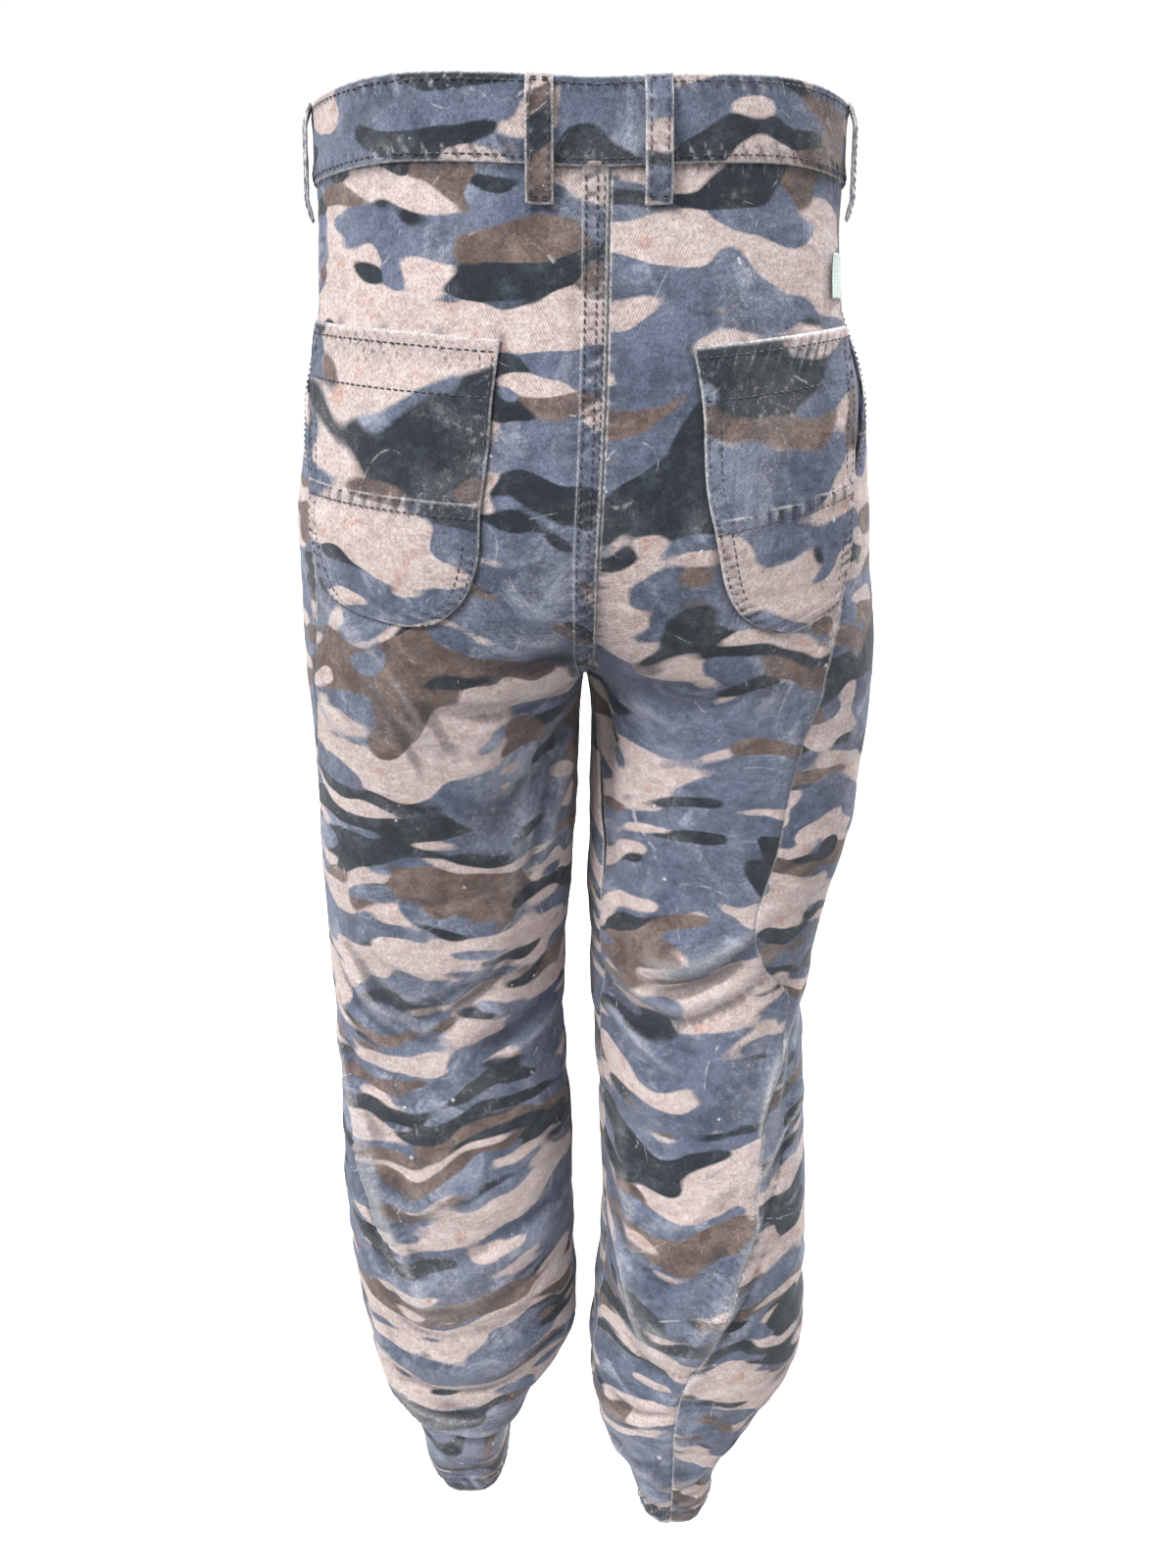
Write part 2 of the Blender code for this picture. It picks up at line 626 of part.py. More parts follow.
def main():
    for obj in list(bpy.data.objects):
        bpy.data.objects.remove(obj, do_unlink=True)
    bpy.context.scene.collection.children.link(bpy.data.collections.new(COLLECTION))
    back_panel("back_left", 1)
    back_panel("back_right", -1)
    front_panel("front_left", 1)
    front_panel("front_right", -1)
    hip_piece("pocket_front_left", 1)
    hip_piece("pocket_front_right", -1)
    fly_underlap("fly_underlap")
    waistband("waistband")
    strap("loop_back_left", 79.7)
    strap("loop_back_right", 180 - 78.0)
    strap("loop_side_left", 10.0)
    strap("loop_side_right", 180 - 17.0)
    strap("loop_front_left", -58.0)
    strap("loop_front_right", -122.0)
    patch_pocket("pocket_back_left", 1, LEFT_POCKET)
    patch_pocket("pocket_back_right", -1, RIGHT_POCKET)
    side_label("side_label")
    button("waist_button")


main()
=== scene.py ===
"""Looks of a pair of loose, camouflage-print twill jeans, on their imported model.

Every cut piece is drawn again as a fine sheet on the same sections as its solid,
with its creases, puckered seams and stitches. The front faces -Y, the back +Y,
+X is the wearer's left. A place on a leg is its distance round from the side
(back positive) and its height.
"""

import math

import bpy
import numpy as np
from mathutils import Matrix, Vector


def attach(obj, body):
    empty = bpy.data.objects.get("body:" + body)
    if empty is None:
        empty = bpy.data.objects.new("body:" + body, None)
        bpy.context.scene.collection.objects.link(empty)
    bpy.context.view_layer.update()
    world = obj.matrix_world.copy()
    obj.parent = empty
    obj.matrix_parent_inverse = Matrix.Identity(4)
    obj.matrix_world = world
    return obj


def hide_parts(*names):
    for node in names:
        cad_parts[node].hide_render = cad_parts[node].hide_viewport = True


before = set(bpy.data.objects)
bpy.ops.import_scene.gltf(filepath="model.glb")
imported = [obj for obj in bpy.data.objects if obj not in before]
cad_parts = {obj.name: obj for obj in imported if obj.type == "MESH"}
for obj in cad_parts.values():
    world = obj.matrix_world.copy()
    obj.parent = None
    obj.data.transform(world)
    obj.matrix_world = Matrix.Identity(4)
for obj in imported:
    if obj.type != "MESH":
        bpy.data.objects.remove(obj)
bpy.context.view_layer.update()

# ---- driving sizes, in metres --------------------------------------------
CLOTH = 0.0020  # wall of a panel
BAND_WALL = 0.0028  # waistband, two plies and their turnings
SEAM_GAP = 0.0003  # between two pieces that are sewn together
BAND_TOP = 0.0195
BAND_FOOT = -0.0195
BAND_PROUD = 0.0010  # the band stands this far out from the panels
CROTCH = -0.303
POCKET_WALL = 0.0015
LOOP_WIDTH = 0.0135
LOOP_WALL = 0.0016
LOOP_TOP, LOOP_FOOT = 0.0195, -0.0375
LOOP_SLACK = 0.0030  # room for a belt behind a loop
BUTTON_RADIUS = 0.0085
MOUTH_REACH = 0.070  # front pocket mouth: from the side seam, along the waist
MOUTH_FOOT = -0.173
TUCK = 0.008  # how far the hip piece runs on behind the front panel
LAYER_GAP = 0.0006  # clearance of a piece that lies on or behind a faceted panel
HEM_DEPTH = 0.016
HEM_PROUD = 0.0006
FLY_DEPTH = -0.165
PANEL_COLUMNS = 11

# ---- leg sections: height, centre, half widths outward and inward, then the
# centre line's place fore and aft, half depths back and front, and squareness
SECTION = ("z", "cx", "out", "inn", "cy", "back", "front", "power")
LEFT_LEG = (
    (0.022, 0.000, 0.146, 0.147, 0.000, 0.103, 0.100, 2.25),
    (-0.020, 0.000, 0.148, 0.149, 0.002, 0.106, 0.102, 2.25),
    (-0.080, 0.002, 0.152, 0.156, 0.004, 0.116, 0.106, 2.25),
    (-0.140, 0.006, 0.158, 0.152, 0.006, 0.126, 0.110, 2.25),
    (-0.190, 0.018, 0.155, 0.140, 0.006, 0.130, 0.112, 2.25),
    (-0.235, 0.040, 0.136, 0.118, 0.005, 0.124, 0.112, 2.2),
    (-0.275, 0.069, 0.109, 0.101, 0.003, 0.115, 0.110, 2.2),
    (-0.303, 0.090, 0.089, 0.090, 0.000, 0.107, 0.107, 2.2),
    (-0.345, 0.092, 0.087, 0.089, -0.003, 0.100, 0.104, 2.2),
    (-0.400, 0.094, 0.087, 0.089, -0.006, 0.094, 0.101, 2.2),
    (-0.480, 0.097, 0.086, 0.086, -0.009, 0.088, 0.095, 2.2),
    (-0.560, 0.100, 0.084, 0.084, -0.010, 0.083, 0.090, 2.2),
    (-0.640, 0.099, 0.087, 0.086, -0.006, 0.084, 0.084, 2.2),
    (-0.720, 0.099, 0.089, 0.089, 0.000, 0.086, 0.080, 2.2),
    (-0.790, 0.098, 0.087, 0.088, 0.003, 0.085, 0.078, 2.2),
    (-0.840, 0.098, 0.084, 0.091, 0.003, 0.082, 0.077, 2.2),
    (-0.875, 0.100, 0.079, 0.089, 0.002, 0.078, 0.075, 2.2),
    (-0.905, 0.104, 0.066, 0.076, 0.001, 0.074, 0.074, 2.2),
    (-0.935, 0.105, 0.049, 0.056, 0.000, 0.070, 0.074, 2.3),
    (-0.965, 0.104, 0.039, 0.041, -0.001, 0.066, 0.075, 2.6),
    (-0.995, 0.103, 0.035, 0.036, -0.003, 0.062, 0.077, 3.0),
    (-1.024, 0.102, 0.033, 0.034, -0.005, 0.061, 0.078, 3.0),
)
RIGHT_LEG = (
    (0.022, 0.000, 0.144, 0.147, 0.000, 0.103, 0.100, 2.25),
    (-0.020, 0.000, 0.145, 0.149, 0.002, 0.106, 0.102, 2.25),
    (-0.080, 0.002, 0.149, 0.156, 0.004, 0.116, 0.106, 2.25),
    (-0.140, 0.006, 0.161, 0.152, 0.006, 0.126, 0.110, 2.25),
    (-0.190, 0.018, 0.155, 0.140, 0.006, 0.130, 0.112, 2.25),
    (-0.235, 0.040, 0.139, 0.118, 0.005, 0.124, 0.112, 2.2),
    (-0.275, 0.069, 0.117, 0.101, 0.003, 0.115, 0.110, 2.2),
    (-0.303, 0.091, 0.096, 0.091, 0.002, 0.107, 0.107, 2.2),
    (-0.345, 0.096, 0.091, 0.091, 0.002, 0.101, 0.104, 2.2),
    (-0.400, 0.096, 0.088, 0.092, 0.003, 0.096, 0.101, 2.2),
    (-0.480, 0.088, 0.080, 0.085, 0.005, 0.090, 0.095, 2.2),
    (-0.560, 0.085, 0.074, 0.079, 0.009, 0.085, 0.090, 2.2),
    (-0.640, 0.089, 0.076, 0.078, 0.015, 0.085, 0.085, 2.2),
    (-0.720, 0.092, 0.079, 0.079, 0.021, 0.086, 0.081, 2.2),
    (-0.790, 0.094, 0.080, 0.083, 0.026, 0.084, 0.079, 2.2),
    (-0.840, 0.094, 0.084, 0.088, 0.028, 0.081, 0.077, 2.2),
    (-0.875, 0.092, 0.081, 0.088, 0.029, 0.078, 0.076, 2.2),
    (-0.905, 0.088, 0.070, 0.084, 0.030, 0.074, 0.075, 2.2),
    (-0.940, 0.083, 0.053, 0.070, 0.030, 0.070, 0.074, 2.3),
    (-0.975, 0.078, 0.039, 0.049, 0.029, 0.065, 0.075, 2.6),
    (-1.008, 0.075, 0.032, 0.036, 0.028, 0.060, 0.077, 3.0),
    (-1.040, 0.073, 0.029, 0.029, 0.026, 0.058, 0.078, 3.0),
)
LEGS = {1: np.array(LEFT_LEG), -1: np.array(RIGHT_LEG)}

# ---- seams: height, then angles in degrees from the side towards the back
SEAMS = ("z", "outseam", "inseam")
LEFT_SEAMS = (
    (0.022, 12, 180),
    (-0.045, 15, 180),
    (-0.095, 20, 180),
    (-0.140, 24, 180),
    (-0.200, 30, 180),
    (-0.290, 33, 180),
    (-0.303, 33, 180),
    (-0.340, 25, 176),
    (-0.400, 15, 172),
    (-0.500, 10, 170),
    (-1.024, 10, 170),
)
RIGHT_SEAMS = (
    (0.022, 18, 180),
    (-0.045, 23, 180),
    (-0.095, 28, 180),
    (-0.140, 33, 180),
    (-0.200, 38, 180),
    (-0.240, 44, 180),
    (-0.290, 60, 180),
    (-0.303, 64, 180),
    (-0.330, 71, 171),
    (-0.390, 76, 160),
    (-0.450, 80, 156),
    (-0.485, 72, 157),
    (-0.525, 50, 160),
    (-0.560, 53, 163),
    (-0.600, 63, 165),
    (-0.650, 69, 166),
    (-0.700, 71, 168),
    (-0.745, 82, 168),
    (-0.805, 94, 168),
    (-0.870, 106, 168),
    (-0.940, 104, 168),
    (-1.040, 100, 168),
)
SEAM_ANGLES = {1: np.array(LEFT_SEAMS, float), -1: np.array(RIGHT_SEAMS, float)}

# ---- where the two backs and the two fronts meet, in x: the left one laps over
CENTRE_BACK = ((0.022, -0.008), (-0.100, -0.005), (-0.150, -0.003), (-0.220, 0.0), (-0.303, 0.0))
CENTRE_FRONT = ((0.022, -0.005), (-0.150, -0.005), (-0.190, 0.0), (-0.303, 0.0))
LAP_WIDTH = 0.013
LAP_PROUD = 0.0013

# ---- the waist edge: angle from the side (90 centre back, -90 centre front), rise
WAIST_LINE = ((-90, -0.015), (-50, -0.011), (0, -0.005), (25, -0.002), (52, 0.0025), (90, -0.001))

# ---- the largest folds: leg, then three points of its line as distance round
# the leg from the side and height, its relief (out is positive) and half width, in mm
FOLDS = (
    # leg, s0, z0, s1, z1, s2, z2, relief, half_width
    (1, 102, -262, 122, -272, 142, -317, 4.0, 9),
    (1, 108, -262, 132, -275, 160, -330, -3.0, 12),
    (1, 190, -273, 215, -275, 240, -267, -4.0, 9),
    (1, 262, -332, 222, -340, 192, -382, -8.0, 15),
    (1, 60, -483, 105, -560, 150, -499, -4.5, 14),
    (1, 150, -562, 185, -560, 222, -532, -3.5, 13),
    (1, 38, -581, 80, -690, 112, -770, 5.0, 11),
    (1, 112, -770, 170, -722, 245, -735, 3.5, 16),
    (1, 55, -805, 66, -835, 62, -880, 3.0, 9),
    (1, 60, -842, 120, -866, 215, -832, 3.5, 15),
    (1, 62, -884, 110, -935, 156, -912, 5.5, 13),
    (1, 60, -915, 110, -955, 150, -940, -4.0, 10),
    (1, -40, -470, -100, -505, -160, -480, -4.0, 15),
    (1, -60, -610, -120, -640, -180, -600, 4.0, 15),
    (1, -30, -300, -80, -285, -150, -262, -3.5, 13),
    (1, -40, -850, -110, -880, -180, -850, 4.0, 15),
    (1, -40, -915, -100, -940, -150, -915, -4.0, 13),
    (-1, 278, -297, 265, -360, 240, -443, -4.0, 12),
    (-1, 188, -505, 152, -520, 120, -465, -5.0, 12),
    (-1, 190, -485, 152, -495, 120, -445, 4.0, 12),
    (-1, 222, -530, 175, -520, 143, -556, -3.0, 9),
    (-1, 66, -531, 86, -580, 102, -651, 2.5, 14),
    (-1, 50, -615, 110, -690, 159, -871, 3.5, 15),
    (-1, 199, -600, 212, -700, 165, -840, 3.5, 12),
    (-1, 217, -900, 165, -925, 128, -960, 4.0, 12),
    (-1, 128, -968, 98, -995, 76, -965, 4.5, 9),
    (-1, 105, -1018, 85, -1008, 64, -1003, -2.5, 7),
    (-1, -40, -480, -100, -515, -160, -490, -4.0, 15),
    (-1, -60, -620, -120, -650, -180, -610, 4.0, 15),
    (-1, -30, -310, -80, -290, -150, -266, -3.5, 13),
    (-1, -40, -860, -110, -890, -180, -860, 4.0, 15),
    (-1, -40, -930, -100, -955, -150, -930, -4.0, 13),
)

# ---- patch pockets, one row per line across: outer point and inner point, each
# as distance round from the side and height, in mm
LEFT_POCKET = (
    # s_out, z_out, s_in, z_in
    (42, -90, 175, -98),
    (52, -130, 180, -136),
    (64, -172, 184, -177),
    (71, -200, 187, -199),
    (76, -216, 183, -216),
    (83, -228, 175, -230),
    (95, -236, 158, -243),
)
RIGHT_POCKET = (
    (54, -93, 175, -102),
    (72, -130, 182, -138),
    (83, -172, 187, -177),
    (90, -205, 184, -205),
    (94, -224, 179, -226),
    (99, -236, 169, -242),
    (108, -242, 152, -251),
)


# ---- shape ----------------------------------------------------------------
def between(table, z):
    """Every column of a table at heights z, by monotone cubic pieces."""
    rows = np.asarray(table, float)[::-1]
    zz, value = rows[:, 0], rows[:, 1:]
    step = np.diff(zz)
    slope = np.diff(value, axis=0) / step[:, None]
    tangent = np.empty_like(value)
    tangent[0], tangent[-1] = slope[0], slope[-1]
    before, after = slope[:-1], slope[1:]
    w1 = (2 * step[1:] + step[:-1])[:, None]
    w2 = (step[1:] + 2 * step[:-1])[:, None]
    same = before * after > 0
    safe_before = np.where(same, before, 1.0)
    safe_after = np.where(same, after, 1.0)
    tangent[1:-1] = np.where(same, (w1 + w2) / (w1 / safe_before + w2 / safe_after), 0)
    z = np.clip(np.asarray(z, float), zz[0], zz[-1])
    i = np.clip(np.searchsorted(zz, z, side="right") - 1, 0, len(step) - 1)
    t = ((z - zz[i]) / step[i])[..., None]
    h = step[i][..., None]
    return (
        (1 + 2 * t) * (1 - t) ** 2 * value[i]
        + t * (1 - t) ** 2 * h * tangent[i]
        + t * t * (3 - 2 * t) * value[i + 1]
        + t * t * (t - 1) * h * tangent[i + 1]
    )


def smooth(low, high, value):
    t = np.clip((np.asarray(value, float) - low) / (high - low), 0, 1)
    return t * t * (3 - 2 * t)


def oval(side, angle, z):
    """Point of the leg's section at an angle from its outer side, back positive."""
    c = between(LEGS[side], z)
    cx, out, inn, cy, back, front, power = (c[..., k] for k in range(7))
    co, si = np.cos(angle), np.sin(angle)
    reach = (np.abs(co) ** power + np.abs(si) ** power) ** (-1 / power)
    x = cx + np.where(co > 0, out, inn) * co * reach
    y = cy + np.where(si > 0, back, front) * si * reach
    return np.stack([side * x, y, np.broadcast_to(z, x.shape) + 0.0], -1)


def outward(side, angle, z):
    e = 1e-3
    around = oval(side, angle + e, z) - oval(side, angle - e, z)
    down = oval(side, angle, z - e) - oval(side, angle, z + e)
    n = np.cross(down, around) * side
    return n / np.linalg.norm(n, axis=-1, keepdims=True)


def girth_scale(side, z, lowest=-2 * math.pi, highest=math.pi, count=721):
    """Angles and the distance round from the side at each, at one height."""
    angle = np.linspace(lowest, highest, count)
    p = oval(side, angle, np.full(count, z))
    s = np.concatenate([[0], np.cumsum(np.linalg.norm(np.diff(p, axis=0), axis=1))])
    return angle, s - np.interp(0.0, angle, s)


def waist_rise(side, angle, z):
    """The waist edge's rise and dip, fading out below the band."""
    degrees = np.degrees(np.clip(angle, -math.pi / 2, math.pi / 2))
    line = np.array(WAIST_LINE)
    rise = between(line[::-1], degrees)[..., 0]
    return rise * smooth(-0.13, -0.02, z)


def cut_angles(side, z):
    """Angles at which the back and the front panel end at the centre or the inseam."""
    inseam = math.radians(float(between(SEAM_ANGLES[side], np.array([z]))[0, 1]))
    ends = []
    for back, line in ((True, CENTRE_BACK), (False, CENTRE_FRONT)):
        plane = side * float(between(line, np.array([z]))[0, 0])
        full = np.linspace(0, math.pi, 2001) * (1 if back else -1)
        x = side * oval(side, full, np.full(full.shape, z))[:, 0]
        crossed = x < plane + 1e-9
        if z > CROTCH + 1e-6 and crossed.any():
            i = int(np.argmax(crossed))
            f = (x[i - 1] - plane) / (x[i - 1] - x[i])
            ends.append(float(full[i - 1] + f * (full[i] - full[i - 1])))
        else:
            ends.append(inseam if back else inseam - 2 * math.pi)
    return ends


def outseam_angle(side, z):
    return math.radians(float(between(SEAM_ANGLES[side], np.array([z]))[0, 0]))


def mouth_width(z):
    """Distance from the side seam to the front pocket's mouth."""
    t = np.clip((BAND_FOOT - np.asarray(z)) / (BAND_FOOT - MOUTH_FOOT), 0, 1)
    return MOUTH_REACH * (1 - t**1.6)


def lap(distance):
    """Relief of the lapped seam at a distance from its edge."""
    return LAP_PROUD * (1 - smooth(LAP_WIDTH - 0.002, LAP_WIDTH + 0.002, distance))


# ---- finer sizes for the looks ---------------------------------------------
SHEET = 0.0016  # drawn thickness of a panel
STITCH_LENGTH, STITCH_GAP, STITCH_WIDTH = 0.0030, 0.0011, 0.0010

# creases too small for the solids: leg, three points of the line as distance
# round and height, relief and half width, all in mm
CREASES = (
    # leg, s0, z0, s1, z1, s2, z2, relief, half_width
    (1, 69, -290, 78, -308, 98, -320, 2.2, 5),
    (1, 73, -236, 98, -250, 118, -262, 2.0, 5),
    (1, 150, -300, 190, -312, 235, -300, -1.6, 6),
    (1, 170, -290, 205, -297, 245, -285, 1.6, 5),
    (1, 200, -352, 226, -350, 262, -345, 1.8, 6),
    (1, 90, -430, 140, -447, 190, -425, -1.4, 8),
    (1, 60, -500, 85, -535, 108, -552, 1.8, 5),
    (1, 120, -545, 140, -525, 160, -498, 1.8, 5),
    (1, 170, -570, 200, -568, 235, -550, 1.5, 5),
    (1, 70, -640, 92, -700, 118, -760, -1.6, 5),
    (1, 120, -750, 175, -715, 240, -705, -1.4, 8),
    (1, 125, -800, 175, -780, 245, -785, 1.5, 8),
    (1, 70, -860, 110, -890, 160, -875, -2.0, 6),
    (1, 75, -905, 112, -938, 148, -930, 2.0, 5),
    (1, 80, -940, 112, -972, 140, -955, -1.8, 5),
    (1, 90, -962, 112, -985, 134, -978, 1.5, 5),
    (-1, 280, -320, 262, -340, 240, -350, -1.6, 7),
    (-1, 250, -290, 228, -310, 190, -318, 1.5, 6),
    (-1, 196, -512, 160, -530, 128, -500, 1.0, 7),
    (-1, 180, -470, 150, -480, 128, -440, -0.9, 8),
    (-1, 226, -540, 190, -545, 150, -575, 1.6, 5),
    (-1, 240, -420, 225, -450, 205, -470, -1.4, 8),
    (-1, 190, -620, 205, -700, 180, -780, -1.8, 7),
    (-1, 230, -700, 210, -770, 180, -820, 1.6, 7),
    (-1, 150, -880, 175, -905, 205, -890, -2.0, 6),
    (-1, 210, -925, 165, -945, 130, -985, -1.8, 6),
    (-1, 190, -930, 150, -965, 110, -985, 1.8, 5),
    (-1, 130, -985, 105, -1005, 78, -985, -2.2, 5),
    (-1, 110, -1010, 90, -1015, 66, -1010, 1.8, 5),
    (-1, 192, -50, 186, -72, 178, -90, 1.2, 6),
    (1, 51, -37, 57, -54, 69, -72, 1.2, 6),
    (1, 45, -640, 98, -725, 165, -668, 1.8, 7),
    (1, 50, -690, 100, -770, 178, -712, -1.9, 8),
    (1, 52, -735, 104, -806, 186, -752, 1.8, 7),
    (1, 58, -778, 108, -838, 186, -795, -1.6, 8),
    (1, 66, -560, 58, -650, 86, -740, 2.4, 6),
    (1, 40, -600, 66, -700, 92, -800, -2.2, 7),
    (1, 58, -902, 110, -952, 160, -928, 5.4, 9),
    (1, 60, -922, 110, -972, 156, -948, -6.0, 7),
    (-1, 120, -650, 168, -738, 225, -668, 1.8, 7),
    (-1, 115, -700, 165, -795, 222, -715, -1.8, 8),
    (-1, 110, -745, 165, -838, 218, -765, 2.0, 7),
    (-1, 105, -800, 160, -874, 212, -815, -1.8, 8),
    (-1, 74, -560, 96, -640, 104, -700, 2.4, 5),
    (-1, 62, -600, 90, -680, 120, -745, -2.2, 6),
    (-1, 112, -700, 140, -790, 172, -850, 2.6, 5),
    (-1, 96, -720, 128, -800, 160, -860, -2.4, 6),
    (-1, 212, -925, 165, -962, 120, -965, 5.0, 9),
    (-1, 210, -945, 160, -985, 110, -985, -5.6, 7),
    (-1, 205, -462, 168, -500, 118, -455, 0.9, 9),
    (1, 88, -462, 120, -520, 168, -470, 1.6, 7),
    (1, 78, -515, 112, -580, 158, -520, -1.8, 8),
    # the crossed drag lines under the seat, the pouches behind the knees and
    # the long twist down the right leg's outseam
    (1, 104, -248, 146, -276, 150, -334, 1.9, 6),
    (1, 96, -256, 134, -290, 138, -346, -2.0, 7),
    (1, 250, -328, 196, -352, 186, -448, 1.8, 8),
    (1, 258, -340, 208, -372, 196, -462, -2.4, 7),
    (1, 257, -355, 210, -400, 200, -470, 1.4, 6),
    (1, 228, -310, 184, -336, 182, -394, -1.8, 8),
    (1, 185, -470, 154, -508, 99, -520, 3.0, 9),
    (1, 190, -486, 156, -530, 97, -542, -4.0, 8),
    (1, 49, -497, 92, -542, 116, -536, 2.4, 8),
    (1, 45, -512, 88, -558, 122, -552, -2.4, 7),
    (1, 40, -581, 78, -632, 88, -703, 2.2, 7),
    (1, 28, -590, 62, -650, 74, -712, -2.4, 8),
    (-1, 64, -526, 71, -551, 95, -596, 1.8, 5),
    (-1, 83, -563, 98, -585, 102, -651, 2.0, 5),
    (-1, 40, -616, 86, -622, 108, -667, 1.8, 5),
    (-1, 102, -690, 124, -742, 137, -805, 2.8, 6),
    (-1, 122, -745, 134, -802, 159, -871, 2.8, 6),
    (-1, 116, -694, 140, -748, 174, -868, -2.6, 8),
    (-1, 230, -486, 178, -530, 112, -462, 2.2, 17),
    (-1, 238, -512, 178, -572, 108, -500, -4.4, 10),
    (-1, 238, -724, 202, -752, 186, -824, 2.0, 6),
    (-1, 203, -674, 210, -810, 162, -837, 1.8, 7),
)
# pale crests, partly wear and partly a painted highlight along fold crests: leg, three points of the line as above in
# mm, strength
CRESTS = (
    # leg, s0, z0, s1, z1, s2, z2, strength
    (1, 104, -248, 146, -276, 150, -334, 0.34),
    (1, 250, -328, 196, -352, 186, -448, 0.12),
    (1, 49, -497, 92, -542, 116, -536, 0.45),
    (1, 40, -581, 78, -632, 88, -703, 0.45),
    (1, 71, -637, 86, -707, 108, -761, 0.40),
    (1, 68, -887, 78, -905, 152, -919, 0.55),
    (-1, 64, -526, 71, -551, 95, -596, 0.95),
    (-1, 83, -563, 98, -585, 102, -651, 0.90),
    (-1, 40, -616, 86, -622, 108, -667, 0.80),
    (-1, 102, -690, 124, -742, 137, -805, 0.90),
    (-1, 122, -745, 134, -802, 159, -871, 0.85),
    (-1, 238, -724, 202, -752, 186, -824, 0.50),
    (-1, 123, -975, 93, -1012, 79, -964, 0.55),
)


# ---- tables of each leg -----------------------------------------------------
class Leg:
    """Distances round one leg, its seams and its cut edges, by height."""

    STEP = 0.004

    def __init__(self, side):
        self.side = side
        self.z = np.arange(0.026, LEGS[side][-1, 0] - 0.006, -self.STEP)
        turn = np.linspace(-2 * math.pi, math.pi, 1081)
        wide, tall = np.meshgrid(turn, self.z)
        p = oval(side, wide, tall)
        step = np.linalg.norm(np.diff(p, axis=1), axis=2)
        s = np.concatenate([np.zeros((len(self.z), 1)), np.cumsum(step, axis=1)], axis=1)
        s -= s[:, 720:721]
        self.girth = s[:, -1] - s[:, 360]
        self.first = -0.86
        self.places = np.arange(self.first, 0.56, 0.001)
        self.angles = np.stack([np.interp(self.places, row, turn) for row in s])
        seam = [outseam_angle(side, float(z)) for z in self.z]
        ends = [cut_angles(side, float(z)) for z in self.z]
        self.outseam = np.array([np.interp(a, turn, row) for a, row in zip(seam, s)])
        self.back_end = np.array([np.interp(e[0], turn, row) for e, row in zip(ends, s)])
        self.front_end = np.array([np.interp(e[1], turn, row) for e, row in zip(ends, s)])
        self.front = np.array([np.interp(-math.pi / 2, turn, row) for row in s])

    def level(self, column, z):
        return np.interp(-np.asarray(z, float), -self.z, getattr(self, column))

    def angle(self, s, z):
        f = np.clip((self.z[0] - z) / self.STEP, 0, len(self.z) - 1.001)
        g = np.clip((s - self.first) / 0.001, 0, len(self.places) - 1.001)
        i, j = f.astype(int), g.astype(int)
        f, g = f - i, g - j
        t = self.angles
        return (t[i, j] * (1 - g) + t[i, j + 1] * g) * (1 - f) + (
            t[i + 1, j] * (1 - g) + t[i + 1, j + 1] * g
        ) * f


TABLES = {1: Leg(1), -1: Leg(-1)}


def lattice(i, j, k, seed):
    h = (i * 73856093) ^ (j * 19349663) ^ (k * 83492791) ^ (seed * 2654435761)
    h = (h ^ (h >> 13)) * 1274126177
    return ((h ^ (h >> 16)) & 0xFFFF) / 32767.5 - 1


def noise(p, size, seed):
    """Smooth noise in -1..1 with features of about the given size."""
    q = np.asarray(p, float) / size
    base = np.floor(q).astype(np.int64)
    f = q - base
    u = f * f * f * (f * (f * 6 - 15) + 10)
    total = 0
    for a in (0, 1):
        for b in (0, 1):
            for c in (0, 1):
                w = (
                    (u[..., 0] if a else 1 - u[..., 0])
                    * (u[..., 1] if b else 1 - u[..., 1])
                    * (u[..., 2] if c else 1 - u[..., 2])
                )
                total = total + w * lattice(base[..., 0] + a, base[..., 1] + b, base[..., 2] + c, seed)
    return total


def lines_relief(side, s, z, girth, table, sharp=2.0):
    """Sum of a table's soft troughs and ridges; a lower power pinches their crests."""
    total = np.zeros(np.shape(s))
    t = np.linspace(0, 1, 25)
    end = np.sin(np.pi * np.clip(0.06 + 0.88 * t, 0, 1)) ** 0.6
    for leg, s0, z0, s1, z1, s2, z2, relief, half_width in table:
        if leg != side:
            continue
        fs = ((1 - t) ** 2 * s0 + 2 * t * (1 - t) * s1 + t * t * s2) / 1000
        fz = ((1 - t) ** 2 * z0 + 2 * t * (1 - t) * z1 + t * t * z2) / 1000
        reach = 2.6 * half_width / 1000
        wraps = (0.0, 1.0, -1.0) if z0 / 1000 < CROTCH and z2 / 1000 < CROTCH else (0.0,)
        for turn in wraps:
            place = s - turn * girth
            near = (
                (place > fs.min() - reach)
                & (place < fs.max() + reach)
                & (z > fz.min() - reach)
                & (z < fz.max() + reach)
            )
            if near.any():
                d2 = (place[near][:, None] - fs) ** 2 + (z[near][:, None] - fz) ** 2
                fall = np.exp(-((d2 + 1e-7) / (half_width / 1000) ** 2) ** (sharp / 2))
                total[near] += relief / 1000 * (fall * end).max(axis=-1)
    return total


def relief(side, s, z, base):
    leg = TABLES[side]
    girth = leg.level("girth", z)
    total = 1.45 * lines_relief(side, s, z, girth, FOLDS)
    total += 1.6 * lines_relief(side, s, z, girth, CREASES, 1.35)
    slack = 0.35 + 0.65 * smooth(-0.30, -0.60, z) + 0.9 * smooth(-0.82, -0.95, z)
    rough = 0.0016 * noise(base * (1, 1, 1.9), 0.050, 3) + 0.0009 * noise(base * (1, 1, 1.7), 0.022, 5)
    total += rough * slack
    above = z > CROTCH + 0.004
    back, front = leg.level("back_end", z) - s, s - leg.level("front_end", z)
    total *= np.where(above, smooth(0.0, 0.02, back) * smooth(0.0, 0.02, front), 1.0)
    return total


